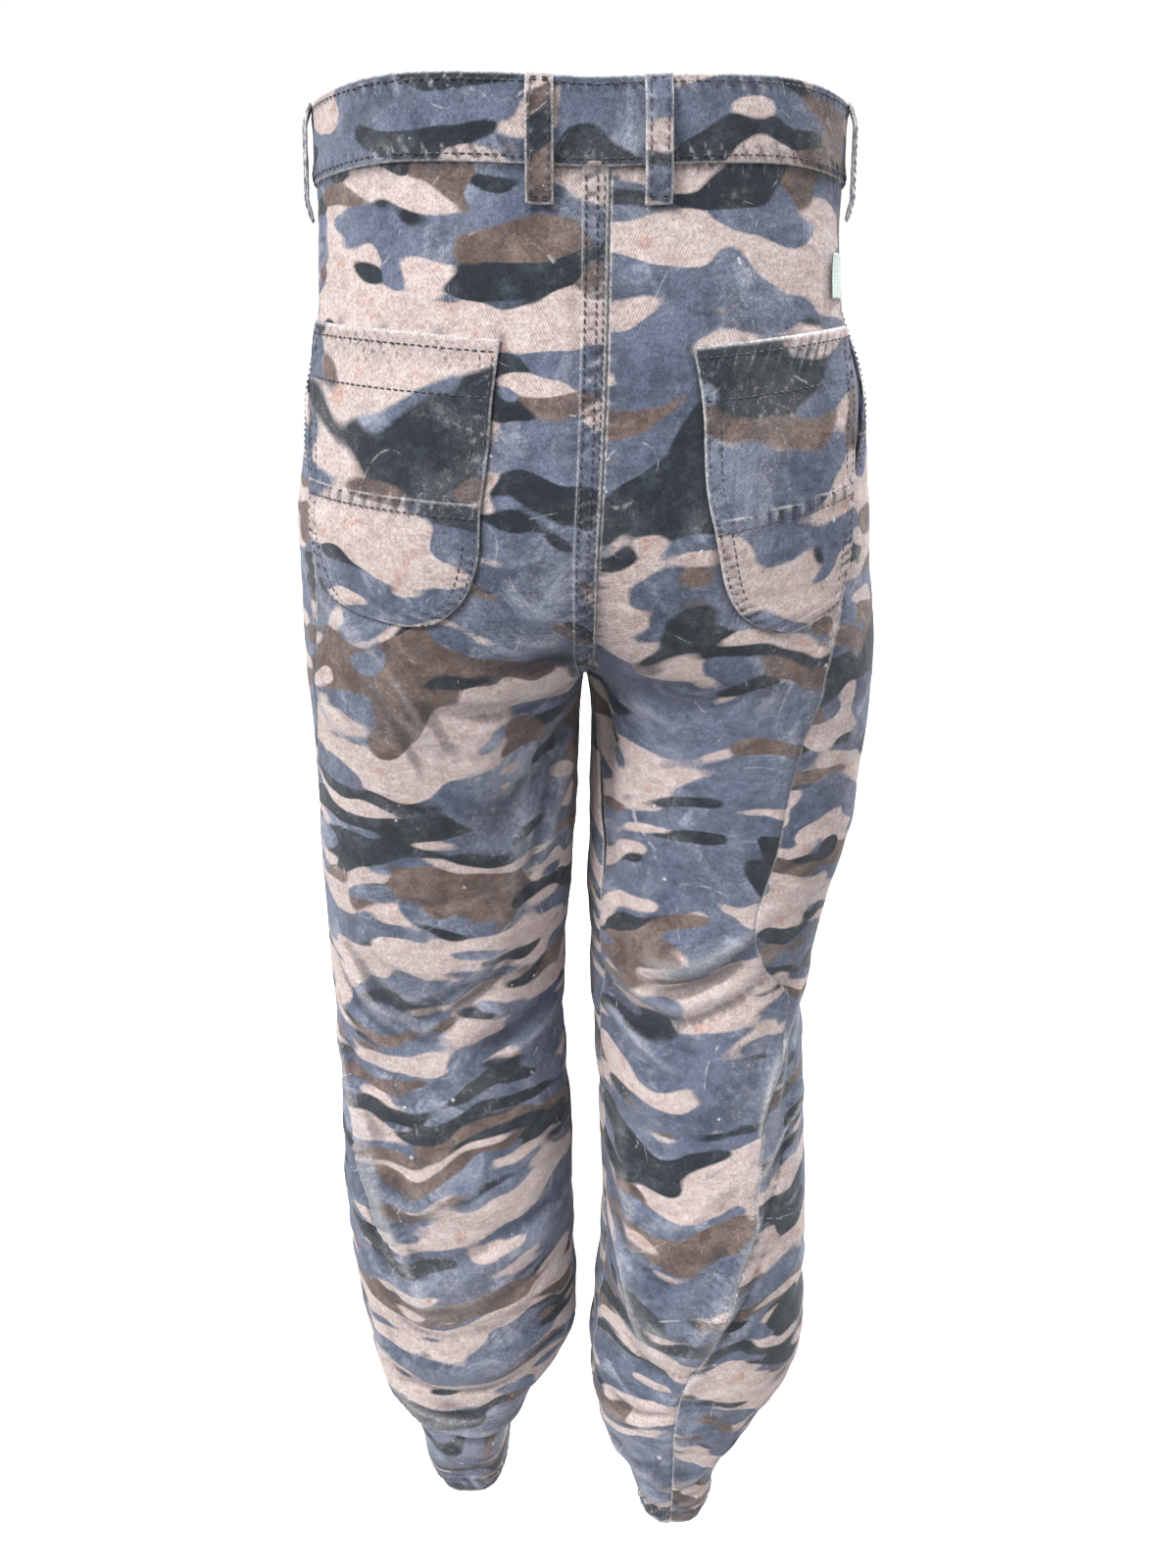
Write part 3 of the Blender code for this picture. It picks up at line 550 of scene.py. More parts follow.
def hollows(rise):
    """How far each point of a grid of relief lies above its surroundings."""
    total = 0
    for reach in (2, 4):
        wide = np.pad(rise, reach, mode="edge")
        k = reach
        around = wide[2 * k :, k:-k] + wide[: -2 * k, k:-k] + wide[k:-k, 2 * k :] + wide[k:-k, : -2 * k]
        total = total + rise - around / 4
    return total / 2


def contact(side, s, z):
    """Shade of the cloth close under the band and round the pocket on it, 0..1."""
    shade = np.exp(-(((BAND_FOOT - z) / 0.0030) ** 2))
    table = np.array(LEFT_POCKET if side > 0 else RIGHT_POCKET, float) / 1000
    key = np.linspace(0, 1, len(table))
    rows = between(np.column_stack([-key, table]), -np.linspace(0, 1, 60))
    line = np.concatenate([rows[:, :2], rows[::-1, 2:4]])
    near = (z > line[:, 1].min() - 0.01) & (z < line[:, 1].max() + 0.01) & (s > line[:, 0].min() - 0.01) & (s < line[:, 0].max() + 0.01)
    if near.any():
        fine = np.concatenate([np.linspace(a, b, 4, endpoint=False) for a, b in zip(line, np.roll(line, -1, axis=0))])
        d2 = ((s[near][:, None] - fine[:, 0]) ** 2 + (z[near][:, None] - fine[:, 1]) ** 2).min(axis=1)
        shade[near] = np.maximum(shade[near], 0.8 * np.exp(-d2 / 0.0032**2))
    return shade


def crest_lines(side, s, z):
    """Nearness to the pale crests, partly wear and partly painted highlight, 0..1."""
    total = np.zeros(np.shape(s))
    t = np.linspace(0, 1, 60)
    end = np.sin(np.pi * np.clip(0.03 + 0.94 * t, 0, 1)) ** 0.5
    for leg, s0, z0, s1, z1, s2, z2, strength in CRESTS:
        if leg == side:
            fs = ((1 - t) ** 2 * s0 + 2 * t * (1 - t) * s1 + t * t * s2) / 1000
            fz = ((1 - t) ** 2 * z0 + 2 * t * (1 - t) * z1 + t * t * z2) / 1000
            near = (s > fs.min() - 0.01) & (s < fs.max() + 0.01) & (z > fz.min() - 0.01) & (z < fz.max() + 0.01)
            if near.any():
                d2 = (s[near][:, None] - fs) ** 2 + (z[near][:, None] - fz) ** 2
                total[near] = np.maximum(total[near], strength * (np.exp(-d2 / 0.0016**2) * end).max(axis=-1))
    return total


def pucker(distance, along, reach=0.006, depth=0.0005, pitch=0.0085):
    """Small uneven ripples across a stitched line."""
    phase = 2 * math.pi * along / pitch + 1.9 * np.sin(along / 0.031) + 1.2 * np.sin(along / 0.013)
    swing = 0.72 + 0.28 * np.sin(along / 0.0197 + 1.3) + 0.25 * np.sin(along / 0.0071)
    return depth * swing * (np.sin(phase) + 0.35 * np.sin(2.3 * phase + 1)) * np.exp(-((distance / reach) ** 2))


def surface(side, s, z, out=0.0):
    """Points of the cloth at distances s and heights z, moved out."""
    s, z = np.broadcast_arrays(np.asarray(s, float), np.asarray(z, float))
    s, z = s + 0.0, z + 0.0
    angle = TABLES[side].angle(s, z)
    base = oval(side, angle, z)
    n = outward(side, angle, z)
    p = base + n * (relief(side, s, z, base) + out)[..., None]
    p[..., 2] += waist_rise(side, angle, z)
    return p


def band_point(turn, z, out):
    """Point of the waistband at a full turn angle in degrees: 0 left side, 90 back."""
    turn = (turn + 180) % 360 - 180
    side = 1 if abs(turn) <= 90 else -1
    angle = math.radians(turn if side > 0 else (180 - turn if turn > 0 else -180 - turn))
    a, h = np.array([angle]), np.array([z])
    p = oval(side, a, h)[0]
    n = outward(side, a, h)[0]
    rise = waist_rise(side, a, np.array([0.0]))[0]
    return p + n * out + np.array([0, 0, rise])


BAND_TURN = 0.8 / 360  # metres of waistband in a degree


def band_points(turn, z, out):
    """band_point for arrays."""
    turn, z, out = np.broadcast_arrays(np.asarray(turn, float), z, out)
    t = (turn + 180) % 360 - 180
    side = np.where(np.abs(t) <= 90, 1, -1)
    degrees = np.where(side > 0, t, np.where(t > 0, 180 - t, -180 - t))
    angle = np.radians(degrees)
    result = np.empty(t.shape + (3,))
    for one in (1, -1):
        here = side == one
        if here.any():
            a, h = angle[here], z[here] + 0.0
            p = oval(one, a, h) + outward(one, a, h) * out[here][:, None]
            p[:, 2] += waist_rise(one, a, np.zeros(a.shape))
            result[here] = p
    return result


# ---- the print --------------------------------------------------------------
# Camouflage in four colours: smooth-edged patches drawn out across the cloth.
# Layers in painter's order over slate: colour, size of a patch along and across,
# share of the cloth it may cover, how far its outline wanders; sizes in mm
PRINT = ("slate", "brown", "dark", "sand")
LAYERS = (
    # colour, along, across, share, wander
    ("sand", 98, 30, 0.39, 15),
    ("brown", 88, 26, 0.26, 13),
    ("dark", 92, 24, 0.26, 14),
    ("slate", 72, 20, 0.15, 11),
    ("sand", 76, 16, 0.140, 9),
    ("dark", 66, 14, 0.040, 8),
    ("slate", 60, 13, 0.055, 8),
)
FLOW = (0.034, 0.105, 0.120)  # the patches' long waves: height, length along, across
# where one colour gathers: piece, colour, middle as distance round and height,
# half length, half height and lean, in mm and degrees, and how strongly
GATHERS = (
    # piece, colour, s, z, half_length, half_height, tilt, pull
    ("back_left", "sand", 135, -85, 90, 20, 0, 1.3),
    ("back_left", "slate", 92, -62, 30, 9, -8, 1.5),
    ("back_left", "brown", 155, -40, 75, 10, -3, 1.3),
    ("back_left", "slate", 205, -150, 30, 25, 0, 0.8),
    ("back_left", "dark", 195, -110, 40, 9, -3, 1.0),
    ("back_left", "brown", 205, -130, 30, 10, 0, 0.9),
    ("back_left", "dark", 200, -175, 45, 12, -5, 1.1),
    ("back_left", "slate", 190, -205, 45, 14, 0, 0.9),
    ("back_left", "brown", 110, -270, 55, 14, -4, 1.2),
    ("back_left", "dark", 180, -262, 50, 9, 0, 0.9),
    ("back_left", "sand", 120, -320, 70, 12, -14, 1.3),
    ("back_left", "sand", 200, -300, 60, 9, 10, 1.0),
    ("back_left", "dark", 110, -365, 65, 13, -6, 1.3),
    ("back_left", "slate", 190, -360, 45, 22, 0, 0.9),
    ("back_left", "brown", 135, -430, 75, 14, 0, 1.3),
    ("back_left", "dark", 120, -400, 60, 9, -4, 0.9),
    ("back_left", "sand", 130, -480, 90, 22, 2, 1.4),
    ("back_left", "slate", 100, -462, 45, 9, 0, 1.3),
    ("back_left", "dark", 150, -500, 60, 9, 8, 1.1),
    ("back_left", "slate", 180, -555, 70, 22, 6, 1.2),
    ("back_left", "sand", 125, -545, 65, 8, 6, 1.0),
    ("back_left", "dark", 130, -598, 75, 12, 5, 1.3),
    ("back_left", "brown", 140, -640, 75, 17, 5, 1.5),
    ("back_left", "sand", 145, -682, 85, 13, 7, 1.3),
    ("back_left", "dark", 90, -705, 55, 12, -8, 1.2),
    ("back_left", "slate", 185, -720, 60, 22, 5, 1.1),
    ("back_left", "brown", 140, -765, 75, 13, 4, 1.3),
    ("back_left", "sand", 160, -795, 80, 15, 5, 1.3),
    ("back_left", "slate", 110, -835, 60, 16, 3, 1.1),
    ("back_left", "sand", 110, -870, 70, 12, 0, 1.1),
    ("back_left", "dark", 95, -905, 45, 10, 0, 0.9),
    ("back_left", "slate", 120, -925, 60, 14, 0, 0.9),
    ("back_right", "dark", 175, -32, 80, 12, 0, 1.1),
    ("back_right", "sand", 140, -62, 45, 12, 6, 0.9),
    ("back_right", "slate", 190, -95, 70, 28, 0, 1.0),
    ("back_right", "brown", 215, -138, 50, 12, 0, 1.2),
    ("back_right", "dark", 210, -175, 45, 20, 4, 1.4),
    ("back_right", "sand", 205, -215, 55, 7, 2, 1.1),
    ("back_right", "dark", 170, -262, 75, 9, 0, 1.0),
    ("back_right", "brown", 130, -280, 60, 13, 3, 1.2),
    ("back_right", "slate", 185, -310, 70, 22, 0, 1.1),
    ("back_right", "sand", 205, -345, 60, 9, -14, 1.2),
    ("back_right", "brown", 150, -335, 45, 8, 3, 0.9),
    ("back_right", "slate", 150, -375, 70, 20, 0, 1.1),
    ("back_right", "dark", 140, -400, 60, 15, 5, 1.3),
    ("back_right", "sand", 125, -435, 50, 8, 0, 0.8),
    ("back_right", "brown", 190, -470, 45, 18, -20, 1.2),
    ("back_right", "slate", 140, -460, 60, 20, 0, 1.0),
    ("back_right", "sand", 110, -500, 65, 19, 4, 1.4),
    ("back_right", "dark", 190, -530, 40, 13, -10, 1.1),
    ("back_right", "slate", 140, -560, 80, 26, 0, 1.2),
    ("back_right", "sand", 190, -580, 50, 8, -12, 1.1),
    ("back_right", "dark", 180, -625, 60, 12, -5, 1.3),
    ("back_right", "sand", 130, -655, 75, 15, 3, 1.2),
    ("back_right", "brown", 160, -690, 70, 14, -4, 1.4),
    ("back_right", "slate", 165, -735, 60, 20, 0, 1.1),
    ("back_right", "dark", 150, -785, 60, 13, 0, 1.3),
    ("back_right", "sand", 165, -815, 65, 10, 3, 1.2),
    ("back_right", "slate", 165, -850, 60, 18, 0, 1.0),
    ("back_right", "sand", 140, -880, 65, 12, 5, 1.1),
    ("back_right", "slate", 120, -940, 60, 22, 0, 1.1),
    ("front_right", "sand", 60, -355, 60, 14, 3, 1.0),
    ("front_right", "sand", 50, -440, 70, 18, 3, 1.2),
    ("front_right", "sand", 60, -660, 60, 14, 4, 1.1),
    ("front_right", "slate", 60, -560, 60, 20, 0, 0.9),
    ("front_right", "sand", 70, -720, 60, 14, 0, 1.1),
    ("front_right", "brown", 85, -770, 45, 16, 0, 1.2),
    ("front_right", "dark", 100, -805, 40, 16, 0, 1.1),
    ("front_right", "sand", 100, -850, 65, 16, 6, 1.1),
    ("pocket_back_left", "sand", 115, -105, 65, 15, -3, 1.7),
    ("pocket_back_left", "dark", 120, -140, 65, 14, -4, 1.7),
    ("pocket_back_left", "brown", 125, -172, 60, 10, -3, 1.1),
    ("pocket_back_left", "sand", 115, -200, 65, 13, -4, 1.6),
    ("pocket_back_left", "slate", 110, -226, 60, 9, -3, 1.6),
    ("pocket_back_right", "dark", 140, -108, 70, 13, 3, 1.7),
    ("pocket_back_right", "sand", 95, -100, 30, 8, 0, 1.1),
    ("pocket_back_right", "brown", 120, -145, 65, 13, 4, 1.6),
    ("pocket_back_right", "slate", 130, -185, 65, 14, 3, 1.3),
    ("pocket_back_right", "sand", 130, -222, 60, 17, 3, 1.7),
    ("waistband", "sand", 60, 5, 28, 16, 0, 1.3),
    ("waistband", "dark", 120, -4, 60, 9, 0, 1.4),
    ("waistband", "slate", 150, 12, 70, 9, 0, 1.1),
    ("waistband", "slate", 240, 6, 50, 14, 0, 1.2),
    ("waistband", "dark", 215, -8, 40, 9, 0, 1.0),
    ("waistband", "sand", 262, -12, 24, 6, 0, 1.2),
)
# where the cloth is dragged down and the print with it: leg, middle as distance
# round and height, half width, half height, drop, in mm
DRAGS = (
    # leg, s, z, half_width, half_height, drop
    (1, 100, -740, 55, 170, 34),
    (1, 125, -335, 50, 70, 18),
    (-1, 165, -770, 50, 150, 30),
    (-1, 195, -480, 45, 80, 16),
)


def swell(x, y, seed):
    """Smooth rounded bumps and hollows in two directions, about -0.7..0.7."""
    i, j = np.floor(x).astype(np.int64), np.floor(y).astype(np.int64)
    f, g = x - i, y - j
    a, b = f * f * f * (f * (f * 6 - 15) + 10), g * g * g * (g * (g * 6 - 15) + 10)
    total = 0
    for m in (0, 1):
        for n in (0, 1):
            way = np.pi * lattice(i + m, j + n, 5, seed)
            slope = (f - m) * np.cos(way) + (g - n) * np.sin(way)
            total = total + slope * (a if m else 1 - a) * (b if n else 1 - b)
    return total


def field(u, v, seed, along, across):
    """Patches drawn out across the cloth, about -1..1."""
    x = (u - 0.13) * (1 - 0.26 * smooth(-0.28, -0.60, v)) / along
    y = (v - 0.60 * np.maximum(-0.46 - v, 0)) / across
    total = 1.22 * swell(x, y, seed) + 0.62 * swell(x * 1.8 + y * 0.3, y * 1.9 - x * 0.2, seed + 1)
    return total + 0.07 * swell(x * 4.1, y * 3.3, seed + 2)


def printed(piece, u, v):
    """Depth of each print colour at points of one piece."""
    tag = sum((k + 3) * ord(letter) for k, letter in enumerate(piece)) % 991
    leg = 1 if "left" in piece else -1
    u, v = np.broadcast_arrays(np.asarray(u, float), v)
    u, v = u + 0.0, v + 0.0
    if "panel" in piece or piece.startswith(("back", "front", "pocket_back")):
        for side, s, z, half_width, half_height, drop in DRAGS:
            if side == leg:
                x = np.sqrt(((u - s / 1000) / (half_width / 1000)) ** 2 + 0.10)
                v = v + drop / 1000 * np.exp(-1.3 * (x - 0.3)) * np.exp(-(((v - z / 1000) / (half_height / 1000)) ** 2))
    v = v + FLOW[0] * swell(u / FLOW[1], v / FLOW[2], tag + 5)
    bend_u = 1.6 * swell(u / 0.040, v / 0.026, tag + 11)
    bend_v = 1.6 * swell(u / 0.046, v / 0.034, tag + 13) + 0.5 * swell(u / 0.017, v / 0.012, tag + 14)
    depth = {colour: np.full(u.shape, -0.020) for colour in PRINT}
    depth["slate"] += 0.040
    for number, (colour, along, across, share, wander) in enumerate(LAYERS):
        seed = tag + 29 * number
        x = u + wander * 1.2 / 1000 * bend_u * (-1) ** number
        y = v + wander * 0.8 / 1000 * bend_v

        def value(x, y):
            total = field(x, y, seed, along / 1000, across / 1000)
            for part, wanted, s, z, half_length, half_height, tilt, pull in GATHERS:
                if part != piece or number > 3:
                    continue
                c, sn = math.cos(math.radians(tilt)), math.sin(math.radians(tilt))
                dx, dy = x - s / 1000, y - z / 1000
                a = (dx * c + dy * sn) / (half_length / 1000)
                b = (dy * c - dx * sn) / (half_height / 1000)
                lift = 0.60 * pull * np.exp(-(a * a) ** 1.5 - b * b)
                total = total + lift * (1.0 if wanted == colour else -0.75)
            return total

        here = value(x, y)
        e = 0.0008
        slope = np.hypot(value(x + e, y) - here, value(x, y + e) - here) / e
        limit = np.quantile(field(*plain_grid(), seed, along / 1000, across / 1000), 1 - share)
        d = np.clip((here - limit) / np.maximum(slope, 12.0), -0.020, 0.020)
        for other in depth:
            depth[other] = np.maximum(depth[other], d) if other == colour else np.minimum(depth[other], -d)
    return {colour: rounded(np.clip(d, -0.006, 0.006), u, v) for colour, d in depth.items()}


def rounded(d, u, v):
    """Soften a grid of depths, so that patches end in round fingers."""
    for axis, width, step in ((1, 0.0044, np.diff(u, axis=1)), (0, 0.0029, np.diff(v, axis=0))):
        sigma = width / max(float(np.median(np.abs(step))), 1e-4)
        reach = min(int(2.5 * sigma) + 1, d.shape[axis] - 1)
        weight = np.exp(-0.5 * (np.arange(-reach, reach + 1) / sigma) ** 2)
        pad = [(0, 0), (0, 0)]
        pad[axis] = (reach, reach)
        wide = np.pad(d, pad, mode="edge")
        count = d.shape[axis]
        d = sum(k * (wide[:, i : i + count] if axis else wide[i : i + count]) for i, k in enumerate(weight / weight.sum()))
    return d


def plain_grid():
    """An even patch of cloth, for the share that a layer covers."""
    return np.meshgrid(np.linspace(0, 1.2, 90), np.linspace(-1.0, 0, 200))


# ---- meshes -----------------------------------------------------------------
COLLECTION = bpy.data.collections.new("jeans_looks")
bpy.context.scene.collection.children.link(COLLECTION)
MATERIALS = {}


def grid_mesh(name, points, wall, outside, uv=None, attributes=None, materials=(), rim=1):
    """A sheet through a grid of points, with a wall on its inner side."""
    rows, columns = points.shape[:2]
    index = np.arange(rows * columns).reshape(rows, columns)
    a, b, c, d = index[:-1, :-1], index[:-1, 1:], index[1:, 1:], index[1:, :-1]
    quads = np.stack([d, c, b, a] if outside > 0 else [a, b, c, d], -1).reshape(-1, 4)
    mesh = bpy.data.meshes.new(name)
    mesh.vertices.add(rows * columns)
    mesh.vertices.foreach_set("co", points.reshape(-1))
    mesh.loops.add(quads.size)
    mesh.loops.foreach_set("vertex_index", quads.reshape(-1).astype(np.int32))
    mesh.polygons.add(len(quads))
    mesh.polygons.foreach_set("loop_start", np.arange(0, quads.size, 4, dtype=np.int32))
    mesh.update(calc_edges=True)
    mesh.validate()
    mesh.shade_smooth()
    if uv is not None:
        layer = mesh.uv_layers.new(name="cloth")
        layer.data.foreach_set("uv", uv.reshape(-1, 2)[quads.reshape(-1)].reshape(-1))
    for key, values in (attributes or {}).items():
        made = mesh.attributes.new(key, "FLOAT", "POINT")
        made.data.foreach_set("value", np.asarray(values, np.float32).reshape(-1))
    obj = bpy.data.objects.new(name, mesh)
    COLLECTION.objects.link(obj)
    for m in materials:
        mesh.materials.append(m)
    if wall:
        shell = obj.modifiers.new("Wall", "SOLIDIFY")
        shell.thickness = wall
        shell.offset = -1
        shell.use_rim = True
        if len(materials) > 1:
            shell.material_offset = 1
            shell.material_offset_rim = 0
    return obj


def declare(obj, node):
    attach(obj, "root")
    if node:
        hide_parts(node)
    return obj


def seam_fields(piece, side, s, z):
    """Distance to the nearest sewn edge, and the seam's own relief."""
    leg = TABLES[side]
    out_d = np.abs(s - leg.level("outseam", z))
    end_d = np.abs(s - leg.level("back_end" if piece.startswith("back") else "front_end", z))
    foot = LEGS[side][-1, 0]
    lift = -0.0009 * np.exp(-((out_d / 0.0018) ** 2)) - 0.0009 * np.exp(-((end_d / 0.0018) ** 2))
    calm = 1 - 0.72 * smooth(-0.20, -0.34, z)
    crest = calm * (pucker(out_d, z, 0.008, 0.7, 0.0105) + pucker(end_d, z, 0.010 if side > 0 else 0.006, 1.0, 0.0085))
    crest += pucker(np.abs(BAND_FOOT - z), s, 0.006, 0.7, 0.0075)
    lift += 0.0005 * crest
    if piece.startswith("back"):
        lift += 0.0006 * (1 - smooth(0.010, 0.013, out_d)) * smooth(0.0, 0.002, out_d)
    hem = z < foot + HEM_DEPTH
    rope = pucker(z - foot - HEM_DEPTH * 0.6, s + 0.6 * z, 0.009, 1.2, 0.0095)
    crest += rope
    lift += np.where(hem, HEM_PROUD, 0.0) + 0.0006 * rope
    near = np.minimum(np.minimum(out_d, end_d) + 0.0011 * (1 - calm) / 0.72, z - foot)
    near = np.minimum(near, np.abs(z - foot - HEM_DEPTH) + 0.001)
    return near, lift, crest


def panel(name, piece, side, columns, rows):
    leg = TABLES[side]
    foot = LEGS[side][-1, 0]
    z = np.linspace(BAND_FOOT + 0.0028, foot, rows)  # its head is sewn into the band
    half = -0.0002  # sewn edges meet, so no light shows through
    f = np.linspace(0, 1, columns)
    f = f - 0.5 / (2 * math.pi) * np.sin(2 * math.pi * f) * 0.8
    if piece.startswith("back"):
        start, end = leg.level("outseam", z) + half, leg.level("back_end", z) - half
    else:
        mouth = np.where(z > MOUTH_FOOT, mouth_width(z), 0.0)
        start, end = leg.level("outseam", z) - mouth - half, leg.level("front_end", z) + half
    s = start[:, None] + (end - start)[:, None] * f
    zz = np.repeat(z[:, None], columns, 1)
    if side > 0:  # narrow columns across the lap
        strip = 14
        sign = np.sign(end - start)[:, None]
        wide = 0.0165
        main = np.linspace(0, 1, columns - strip)
        s = np.concatenate(
            [
                start[:, None] + (end - start - sign[:, 0] * wide)[:, None] * main,
                end[:, None] - sign * wide * np.linspace(1, 0, strip + 1)[1:],
            ],
            axis=1,
        )
    near, lift, crest = seam_fields(piece, side, s, zz)
    if side > 0:
        distance = np.abs(end[:, None] - s)
        fade = smooth(CROTCH + 0.010, CROTCH + 0.035, zz)
        step = LAP_PROUD * (1 - smooth(LAP_WIDTH - 0.0012, LAP_WIDTH + 0.0008, distance))
        rope = fade * pucker(np.abs(distance - LAP_WIDTH / 2), zz - 0.5 * s, 0.008, 1.0, 0.0080)
        crest = crest + rope
        lift = lift + step * fade + 0.0004 * rope
        near = np.where(fade > 0.2, np.minimum(near, np.abs(distance - LAP_WIDTH) + 0.0016), near)
    lift = lift + 0.0006 * smooth(BAND_FOOT - 0.001, BAND_FOOT + 0.002, zz)
    points = surface(side, s, zz, lift)
    depth = printed(piece, s, zz)
    base = oval(side, leg.angle(s, zz), zz)
    rise = relief(side, s, zz, base)
    attributes = {f"print_{k}": v for k, v in depth.items()}
    attributes["seam"] = near
    attributes["rise"] = rise
    attributes["crest"] = crest
    # pale crests: wear and painted highlight along fold crests
    attributes["worn"] = crest_lines(side, s, zz)
    attributes["lifted"] = hollows(rise)
    attributes["shade"] = contact(side, s, zz) if piece.startswith("back") else np.exp(-(((BAND_FOOT - zz) / 0.0030) ** 2))
    uv = np.stack([s, zz], -1)
    obj = grid_mesh(name, points, SHEET, side if piece.startswith("back") else -side, uv, attributes, (MATERIALS["twill"], MATERIALS["reverse"]))
    return declare(obj, name_of_node(piece, side))


def name_of_node(piece, side):
    return f"{piece.split('_')[0]}_{'left' if side > 0 else 'right'}"


# ---- materials --------------------------------------------------------------
def shader(name, roughness=0.9, sheen=0.0, metallic=0.0):
    made = bpy.data.materials.new(name)
    made.use_nodes = True
    tree = made.node_tree
    principled = tree.nodes["Principled BSDF"]
    principled.inputs["Roughness"].default_value = roughness
    principled.inputs["Metallic"].default_value = metallic
    principled.inputs["Sheen Weight"].default_value = sheen
    principled.inputs["Sheen Roughness"].default_value = 0.6
    principled.inputs["Specular IOR Level"].default_value = 0.25
    return made, tree, principled


class Wire:
    """Short ways to add shader nodes."""

    def __init__(self, tree):
        self.tree = tree

    def node(self, kind, **inputs):
        n = self.tree.nodes.new(kind)
        for key, value in inputs.items():
            self.put(n.inputs[key.replace("_", " ")], value)
        return n

    def put(self, socket, value):
        if isinstance(value, bpy.types.NodeSocket):
            self.tree.links.new(value, socket)
        else:
            socket.default_value = value

    def math(self, operation, a, b=0.0, c=0.0, clamp=False):
        n = self.tree.nodes.new("ShaderNodeMath")
        n.operation = operation
        n.use_clamp = clamp
        for socket, value in zip(n.inputs, (a, b, c)):
            self.put(socket, value)
        return n.outputs[0]

    def mix(self, factor, a, b, blend="MIX"):
        n = self.tree.nodes.new("ShaderNodeMix")
        n.data_type = "RGBA"
        n.blend_type = blend
        self.put(n.inputs[0], factor)
        for socket, value in zip((n.inputs[6], n.inputs[7]), (a, b)):
            self.put(socket, value if isinstance(value, bpy.types.NodeSocket) else (*value, 1))
        return n.outputs[2]

    def ramp(self, value, low, high):
        n = self.tree.nodes.new("ShaderNodeMapRange")
        n.interpolation_type = "SMOOTHSTEP"
        self.put(n.inputs["Value"], value)
        self.put(n.inputs["From Min"], low)
        self.put(n.inputs["From Max"], high)
        return n.outputs[0]

    def noise(self, vector, scale, detail=3.0, roughness=0.55, distortion=0.0):
        n = self.node("ShaderNodeTexNoise", Scale=scale, Detail=detail, Roughness=roughness, Distortion=distortion)
        self.put(n.inputs["Vector"], vector)
        return n.outputs["Fac"]

    def attribute(self, name):
        n = self.tree.nodes.new("ShaderNodeAttribute")
        n.attribute_name = name
        return n.outputs["Fac"]

    def shifted(self, vector, by):
        n = self.tree.nodes.new("ShaderNodeMapping")
        self.put(n.inputs["Vector"], vector)
        n.inputs["Location"].default_value = (by, 0.7 * by, -by)
        return n.outputs[0]

    def stretch(self, vector, scale, turn=0.0):
        n = self.tree.nodes.new("ShaderNodeMapping")
        self.put(n.inputs["Vector"], vector)
        n.inputs["Scale"].default_value = scale
        n.inputs["Rotation"].default_value = (0, 0, turn)
        return n.outputs[0]


SLATE_DARK, SLATE, SLATE_PALE = (0.058, 0.072, 0.112), (0.138, 0.160, 0.228), (0.320, 0.345, 0.418)
SAND, SAND_PALE, RUST = (0.462, 0.362, 0.338), (0.590, 0.500, 0.480), (0.430, 0.200, 0.130)
DARK, DARK_PALE = (0.013, 0.018, 0.025), (0.052, 0.064, 0.080)
BROWN, BROWN_PALE = (0.092, 0.064, 0.057), (0.205, 0.152, 0.132)


